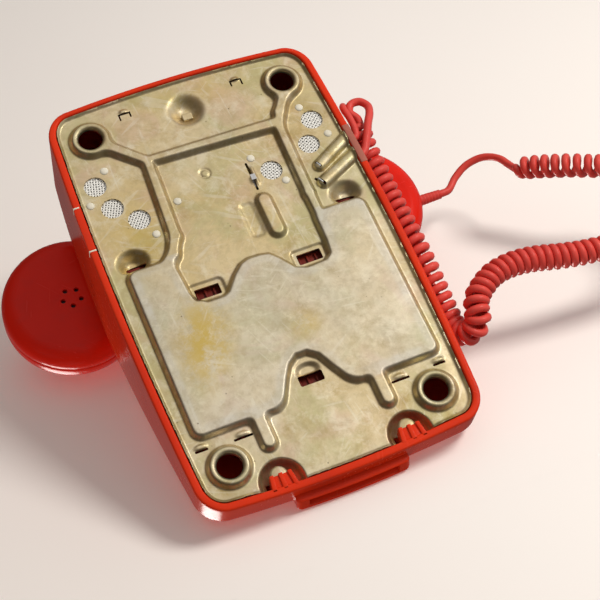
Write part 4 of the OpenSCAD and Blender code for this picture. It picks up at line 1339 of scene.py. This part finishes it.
def build_cap(name, side, holes, replaces):
    """Screwed cap with small holes and a slightly dished face, open towards the cup."""
    cx = side * CUP_X
    flat, tris, loops = fill(circle_loop(0, 0, CAP_FACE_R, 120),
                             [circle_loop(x, y, CAP_HOLE_R, 28) for x, y in holes], 1.3)
    dish = 0.35 * np.exp(-(np.hypot(*flat.T) / 12.0) ** 2)
    plan = np.c_[flat[:, 0] + cx, flat[:, 1] + CRADLE_Y]
    geo = Geo((at_height(plan, CUP_Z + dish), tris[:, ::-1]), (at_height(plan, CUP_Z + 2.4), tris))
    for loop in loops[1:]:
        geo.faces += bridge(loop, loop + len(flat), UNWOUND)
    profile = [(CAP_FACE_R, CUP_Z), (27.2, CUP_Z)]
    profile += arc(CUP_R - 8.2, CUP_Z + 8.2, 8.2, -90, 0, 14)[1:]
    profile += [(CUP_R, CUP_Z + 9.45), (CUP_R - 0.12, CUP_Z + 9.62), (CUP_R - 0.5, CUP_Z + 9.7),
                (CUP_R - 2.4, CUP_Z + 9.7), (CAP_FACE_R, CUP_Z + 9.7)]
    geo.add(*lathe(profile, 120, (cx, CRADLE_Y, 0)))
    ob = make(name, geo, M_HAND, "handset", replaces=replaces, slot="handset_red")
    tidy(ob, weld=0.02, sharp=50)


def polar(r, degrees):
    return r * math.cos(math.radians(degrees)), r * math.sin(math.radians(degrees))


build_handset()
build_cap("receiver_cap_face", 1, [polar(4.7, 136 + 72 * i) for i in range(5)], "receiver_cap")
build_cap("mouthpiece_cap_face", -1, [(0, 0)] + [polar(9, 60 * i) for i in range(6)],
          "mouthpiece_cap")

# black discs behind the holes of both caps: painted shade inside the holes
cloth = [(0, CUP_Z + 2.5), (13, CUP_Z + 2.5), (13, CUP_Z + 2.8), (0, CUP_Z + 2.8)]
make("cap_hole_shade", Geo(*[lathe(cloth, 40, (side * CUP_X, CRADLE_Y, 0)) for side in (-1, 1)]),
     M_BLACK, "handset", slot="black_plastic", sharp=40)


def build_sleeve():
    """Ribbed sleeve along x where the cord enters the mouthpiece cup."""
    profile = [(2.02, -16)]
    for i in range(9):
        part = i / 8
        r, z = 2.55 + 0.5 * part, -16 + 15 * part
        profile += [(r, z), (r, z + 1.1), (r - 0.1, z + 1.3), (r - 0.1, z + 1.7)]
    profile += [(3.0, 2), (3.0, 9.5), (2.02, 9.5)]
    verts, faces = lathe(profile, 32)
    x, y, z = verts.T
    verts = np.c_[-111 + z, CRADLE_Y - 3 + y, 79 + x]
    ob = make("cord_sleeve_ribbed", Geo((verts, faces)), M_CORD, "handset",
              replaces="cord_sleeve", slot="cord_red", sharp=40)
    tidy(ob, weld=0.001, collapse=0.002)


build_sleeve()

# ------------------------------------------------------------------ line cord
# Curve points x, y, z from the side insert to the free end
LINE_POINTS = [
    (-63.2, 47.5, 4.6), (-67, 47.5, 4.6), (-71.2, 47.5, 4.6), (-72.6, 51.5, 4.2),
    (-73, 58, 4.6), (-73.4, 66, 7.5), (-76, 70.5, 13), (-79, 68, 19), (-79.4, 60, 20.6),
    (-78.4, 48, 21), (-78.6, 38, 22.8), (-79, 25, 24.2), (-79.1, 10, 24.3),
    (-79.1, -6, 24.3), (-79.1, -19, 24.6), (-79.1, -33, 25.8), (-79.2, -45, 27.3),
    (-80.4, -54, 28), (-84.5, -59, 25.2), (-90, -57, 21), (-95, -51.5, 17.4),
    (-100.5, -45.4, 15.6), (-109, -41.4, 15.3), (-122, -41, 15.3), (-136, -43.5, 15.3),
    (-151, -46, 15.3), (-180, -49, 15.9), (-194, -60, 13), (-205, -70, 8.5), (-214, -76, 6)]
make("wall_cord", Geo(tube(catmull(LINE_POINTS, 10), 1.75, 14)), M_CORD, replaces="line_cord",
     slot="cord_red")

# ------------------------------------------------------------------ dial, in its own frame
FINGER_RING_R, FINGER_R = 27.5, 6.3
FINGER_ANGLES = [60 + 30 * i for i in range(10)]
STOP_ANGLE = math.radians(-62)


def holed_disc(outer_r, holes, z0, z1, edge, step, rim_steps):
    """Flat disc with round (x, y, radius) holes and rounded rims."""
    seg, hole_seg = 96, 40
    flat, tris, loops = fill(circle_loop(0, 0, outer_r - edge, seg),
                             [circle_loop(x, y, r + edge, hole_seg) for x, y, r in holes], step)
    geo = Geo((at_height(flat, z1), tris), (at_height(flat, z0), tris[:, ::-1]))
    turns = [math.radians(90 * i / rim_steps) for i in range(1, rim_steps + 1)]
    levels = [(t, z1 - edge * (1 - math.cos(t))) for t in turns]
    levels += [(t, z0 + edge * (1 - math.cos(t))) for t in turns[::-1]]
    for k, (cx, cy, r) in enumerate([(0, 0, outer_r), *holes]):
        sign = 1 if k else -1
        rows = [loops[k]]
        for t, z in levels:
            ring_r = r + sign * edge * (1 - math.sin(t))
            ring = circle_loop(cx, cy, ring_r, hole_seg if k else seg)
            rows.append(geo.add(at_height(ring, z)))
        rows.append(loops[k] + len(flat))
        for a, b in zip(rows[:-1], rows[1:]):
            geo.faces += bridge(a, b, "ABba" if k else "abBA")
    return geo


def on_dial(geo):
    return Geo((from_dial(geo.verts()), geo.faces))


def make_dial(name, geo, mat, body, replaces, slot):
    ob = make(name, on_dial(geo), mat, body, replaces=replaces, slot=slot)
    tidy(ob, weld=0.01, sharp=45)


finger_holes = [(*polar(FINGER_RING_R, angle), FINGER_R) for angle in FINGER_ANGLES]
wheel = holed_disc(36.0, finger_holes + [(0, 0, 15.7)], -0.6, 1.6, edge=0.55, step=1.6,
                   rim_steps=3)
wheel.add(*lathe([(15.75, 0.2), (2.0, 0.2), (2.0, -1.4), (9, -1.5), (9, -0.5), (15.75, -0.5)],
                 closed=True))
make_dial("finger_wheel_disc", wheel, M_WHEEL, "dial_wheel", "finger_wheel",
          "dial_wheel_plastic")
card = lathe([(0, 2.55), (6, 2.5), (11, 2.2), (13.2, 1.75), (13.6, 1.3), (13.6, 1.05),
              (14.6, 1.2), (15.3, 0.95), (15.4, 0.5), (0, 0.45)])
make_dial("dial_card_cover", Geo(card), M_PRINT, "dial_wheel", "dial_cap", "plate_print")
trim = lathe([(36.9, -3.2), (36.9, 0.9), (37.3, 1.9), (38.2, 2.4), (39.5, 2.45), (40.8, 2.0),
              (41.5, 1.1), (41.6, 0.25), (40.0, 0.1), (38.0, 0.0), (38.0, -3.2)], 160,
             closed=True)
make_dial("dial_trim_ring", Geo(trim), M_BLACK, "phone_base", "dial_bezel", "black_plastic")
make_dial("dial_number_disc",
          holed_disc(36.8, [(0, 0, 4.4)], -3.0, -1.8, edge=0.1, step=3.0, rim_steps=1),
          M_PRINT, "phone_base", "number_plate", "plate_print")


def digit_block(text, x, y, z):
    """A thin printed digit centred at x, y."""
    curve = bpy.data.curves.new("digit", "FONT")
    curve.body = text
    curve.size = 7.6 * MM
    curve.extrude = 0.04 * MM
    curve.align_x = "CENTER"
    curve.align_y = "CENTER"
    curve.resolution_u = 3
    ob = bpy.data.objects.new("digit_tmp", curve)
    bpy.context.scene.collection.objects.link(ob)
    bpy.context.view_layer.update()
    graph = bpy.context.evaluated_depsgraph_get()
    mesh = bpy.data.meshes.new_from_object(ob.evaluated_get(graph))
    verts = np.array([v.co[:] for v in mesh.vertices]) / MM + (x, y, z)
    faces = [tuple(p.vertices) for p in mesh.polygons]
    bpy.data.objects.remove(ob)
    bpy.data.meshes.remove(mesh)
    bpy.data.curves.remove(curve)
    return verts, faces


digits = Geo(*[digit_block(str((i + 1) % 10), *polar(FINGER_RING_R, angle), -1.74)
               for i, angle in enumerate(FINGER_ANGLES)])
make("dial_digits", on_dial(digits), M_INK, smooth=False, slot="black_plastic")


def finger_stop():
    """Bent strip with a rounded tip, and the rivet that holds it."""
    # radius from the dial's centre, height
    bend = [(44.0, 0.6), (43.0, 2.6), (41.0, 3.4), (38.0, 3.5), (34, 3.4), (30, 3.3),
            (26, 3.2), (22.6, 3.1)]
    path = catmull([(r, 0, z) for r, z in bend], 5)
    path[:, :2] = turn(path[:, :2], STOP_ANGLE)
    sections = []
    for i in range(len(path)):
        k = i / (len(path) - 1)
        width = 2.5 - 0.9 * k
        width *= math.sqrt(max(0.05, 1 - max(0, (k - 0.93) / 0.07) ** 2))
        sections.append(super_oval(width, 0.55, 0.5, 0.6, 20))
    rivet = lathe([(0, 5.0), (1.2, 4.9), (1.75, 4.5), (1.8, 3.9), (0, 3.9)], 24,
                  (40.6 * math.cos(STOP_ANGLE), 40.6 * math.sin(STOP_ANGLE), 0))
    return Geo(sweep(path, sections), rivet)


make_dial("finger_stop_hook", finger_stop(), M_STEEL, "phone_base", "finger_stop",
          "bright_steel")

# ------------------------------------------------------------------ materials of the CAD nodes
NODE_GROUPS = [
    (M_GREY, "cord_port"),
    (M_STEEL, "dial_frame dial_shaft hook_lever hook_bracket ringer_frame gong_screws clapper"
              " volume_lever"),
    (M_BRASS, "dial_gear pinion governor gongs terminal_screws"),
    (M_SPRING, "dial_spring pulse_contacts hook_spring"),
    (M_IVORY, "plungers capacitor line_plug"),
    (M_COPPER, "ringer_coil"),
    (M_BOARD, "circuit_board"),
    (M_BLACK, "induction_coil terminal_block"),
    (M_CAPS, "receiver_capsule transmitter_capsule")]
NODE_MATERIAL = {name: mat for mat, names in NODE_GROUPS for name in names.split()}
NODE_BEVEL = {"plungers": 0.6, "line_plug": 1.2, "induction_coil": 0.35, "capacitor": 0.35,
              "terminal_block": 0.35, "hook_lever": 0.35, "ringer_frame": 0.35}
for node_name, node_ob in frame["nodes"].items():
    if node_name in NODE_MATERIAL:
        node_ob.data.materials.clear()
        node_ob.data.materials.append(NODE_MATERIAL[node_name])
        if node_name in NODE_BEVEL:
            bevel(node_ob, NODE_BEVEL[node_name], angle=40)

# ------------------------------------------------------------------ camera, below the phone
scene = bpy.context.scene
CAM_POS = Vector((152.6976, -285.6656, -592.06)) * MM
CAM_DIR = Vector((-0.24385, 0.38914, 0.88832)).normalized()
CAM_RIGHT = CAM_DIR.cross(Vector((-0.31829, 0.83312, -0.45233)).normalized()).normalized()
CAM_UP = CAM_RIGHT.cross(CAM_DIR).normalized()
cam_data = bpy.data.cameras.new("camera")
cam_data.lens = 88.4658
cam_data.sensor_width = 36
cam_data.clip_start = 0.01
cam_data.clip_end = 50
cam = bpy.data.objects.new("camera", cam_data)
cam_turn = Matrix((CAM_RIGHT, CAM_UP, -CAM_DIR)).transposed()
cam.matrix_world = Matrix.Translation(CAM_POS) @ cam_turn.to_4x4()
scene.collection.objects.link(cam)
scene.camera = cam


def from_camera(right, up, back):
    """Unit direction given along the camera's right, up and backward axes."""
    return (CAM_RIGHT * right + CAM_UP * up - CAM_DIR * back).normalized()


# ------------------------------------------------------------------ stage
def stage_paper():
    """Pale paper with painted light: it glows brighter towards the upper right of the view, with
    painted shade towards the lower left; clear from behind.
    """
    s = Surface("stage_paper")
    spot = s.place()
    window = s.node("TexCoord").outputs["Window"]
    across = s.node("SeparateXYZ", {0: window}).outputs
    shade = s.add(s.times(across[0], 0.55), s.times(across[1], 0.45))
    colour = s.mix(s.noise(spot, scale=6, detail=3), (0.895, 0.85, 0.82), (0.875, 0.83, 0.80))
    # painted light and shade: the glow rises from a dim lower left to a bright upper right of the
    # view
    glow = s.ramp(shade, [(0.12, (0.30, 0.25, 0.22)), (0.62, (0.86, 0.82, 0.79))])
    s.feed(s.bsdf, {
        "Base Color": colour,
        "Emission Color": glow,
        "Emission Strength": 0.12,
        "Roughness": 0.75,
        "Specular IOR Level": 0.1})
    behind = s.node("NewGeometry").outputs["Backfacing"]
    clear = s.node("BsdfTransparent").outputs[0]
    sides = s.node("MixShader", {0: behind, 1: s.bsdf.outputs[0], 2: clear})
    s.feed(s.out, {0: sides.outputs[0]})
    return s.material


def stage_plane(name, centre, normal, size, mat):
    """Square plane that only the camera sees."""
    mesh = bpy.data.meshes.new(name)
    half = size / 2
    mesh.from_pydata([(-half, -half, 0), (half, -half, 0), (half, half, 0), (-half, half, 0)],
                     [], [(0, 1, 2, 3)])
    ob = bpy.data.objects.new(name, mesh)
    mesh.materials.append(mat)
    facing = Vector(normal).normalized().to_track_quat("Z", "Y").to_matrix().to_4x4()
    ob.matrix_world = Matrix.Translation(Vector(centre)) @ facing
    scene.collection.objects.link(ob)
    for ray in ("diffuse", "glossy", "transmission", "volume_scatter", "shadow"):
        setattr(ob, "visible_" + ray, False)
    return ob


M_PAPER = stage_paper()
stage_plane("stage_desk", (0, 0, -0.0002), (0, 0, 1), 14.0, M_PAPER)
# backdrop through a point over the handset and one at the case's front edge, facing down
BACK_TOP, BACK_FRONT = Vector((0, 0.045, 0.1095)), Vector((0, -0.109, 0.0195))
back_normal = Vector((1, 0, 0)).cross((BACK_TOP - BACK_FRONT).normalized())
if back_normal.z > 0:
    back_normal = -back_normal
backdrop = stage_plane("stage_backdrop", BACK_TOP, back_normal, 9.0, M_PAPER)
backdrop.parent = frame["bodies"]["handset"]


# ------------------------------------------------------------------ lights
def area(name, pos, target, size, power, colour, kind):
    """Disc light seen by one kind of ray only, diffuse or glossy."""
    light = bpy.data.lights.new(name, "AREA")
    light.shape = "DISK"
    light.size = size
    light.energy = power
    light.color = colour
    ob = bpy.data.objects.new(name, light)
    aim = (Vector(target) - Vector(pos)).to_track_quat("-Z", "Y").to_matrix().to_4x4()
    ob.matrix_world = Matrix.Translation(Vector(pos)) @ aim
    scene.collection.objects.link(ob)
    ob.visible_glossy = kind == "glossy"
    ob.visible_diffuse = kind == "diffuse"


# Lights on the camera's side: name, direction (right, up, back), distance, size, power,
# colour, kind
LOW_TARGET = Vector((0, 0, 0.03))
LOW_LIGHTS = [
    ("key_below", (0.75, 0.95, 0.62), 1.3, 0.45, 12.5, (1.0, 0.95, 0.89), "diffuse"),
    ("glint_below", (0.80, 0.95, 0.70), 1.3, 0.5, 1.7, (1.0, 0.97, 0.92), "glossy"),
    ("fill_front", (-0.1, -1.0, 0.25), 1.4, 0.8, 3.0, (1.0, 0.95, 0.92), "diffuse"),
    ("fill_below", (-0.6, -0.5, 1.0), 1.5, 0.9, 1.6, (0.95, 0.96, 1.0), "diffuse")]
# Lights above: name, position, size, power, colour, kind
HIGH_LIGHTS = [
    ("key_above", (0.7, -0.5, 1.2), 0.6, 8, (1.0, 0.97, 0.92), "diffuse"),
    ("glint_above", (0.5, -0.3, 1.4), 0.6, 8.0, (1.0, 0.97, 0.92), "glossy"),
    ("fill_above", (-0.9, 0.5, 1.0), 0.9, 4, (0.95, 0.97, 1.0), "diffuse")]
for name, way, distance, *rest in LOW_LIGHTS:
    area(name, LOW_TARGET + from_camera(*way) * distance, LOW_TARGET, *rest)
for name, pos, *rest in HIGH_LIGHTS:
    area(name, pos, (0, 0, 0.04), *rest)


# ------------------------------------------------------------------ world
def build_world():
    """A soft sky for diffuse rays and a dim room with a bright wall for glossy ones."""
    world = bpy.data.worlds.new("world")
    scene.world = world
    world.use_nodes = True
    s = Nodes(world.node_tree)
    out = s.node("OutputWorld")
    sky = s.node("TexCoord").outputs["Generated"]

    def toward(direction):
        return s.node("VectorMath", {0: sky, 1: direction},
                      operation="DOT_PRODUCT").outputs["Value"]

    def uneven(direction, scale, amount):
        """1 towards the direction and 0 away from it, broken up by noise."""
        level = s.math("MULTIPLY_ADD", toward(direction), 0.5, 0.5)
        clouds = s.math("SUBTRACT", s.noise(sky, scale, detail=2), 0.5)
        return s.add(level, s.times(clouds, amount), clamp=True)

    soft = s.ramp(uneven(from_camera(0.5, 0.75, 0.55), scale=1.7, amount=0.35), [
        (0.0, (0.42, 0.40, 0.40)), (0.45, (0.62, 0.58, 0.54)), (0.72, (0.95, 0.90, 0.84)),
        (0.9, (1.25, 1.2, 1.12))])
    diffuse = s.node("Background", {"Color": soft, "Strength": 0.36})
    room = s.ramp(uneven(from_camera(0.14, 0.80, 0.58), scale=3.5, amount=0.12), [
        (0.0, (0.05, 0.04, 0.03)), (0.66, (0.05, 0.038, 0.028)), (0.83, (0.18, 0.145, 0.115)),
        (0.93, (0.50, 0.46, 0.41)), (1.0, (0.66, 0.63, 0.58))])
    # soft ceiling and a glow from the camera's upper right
    height = s.node("SeparateXYZ", {0: sky}).outputs[2]
    ceiling = s.times(s.add(s.times(height, 1.4), -0.1, clamp=True), 0.14)
    side = s.times(toward(from_camera(0.80, 0.62, 0.10)), 1.0, clamp=True)
    extra = s.add(ceiling, s.times(s.math("POWER", side, 1.6), 0.50))
    mirrored = s.node("VectorMath", {0: room, 1: extra}, operation="ADD").outputs[0]
    glossy = s.node("Background", {"Color": mirrored})
    is_glossy = s.node("LightPath").outputs["Is Glossy Ray"]
    both = s.node("MixShader", {0: is_glossy, 1: diffuse.outputs[0], 2: glossy.outputs[0]})
    s.feed(out, {0: both.outputs[0]})


build_world()

# ------------------------------------------------------------------ render settings
scene.view_settings.view_transform = "Standard"
scene.view_settings.look = "None"
scene.cycles.use_denoising = True
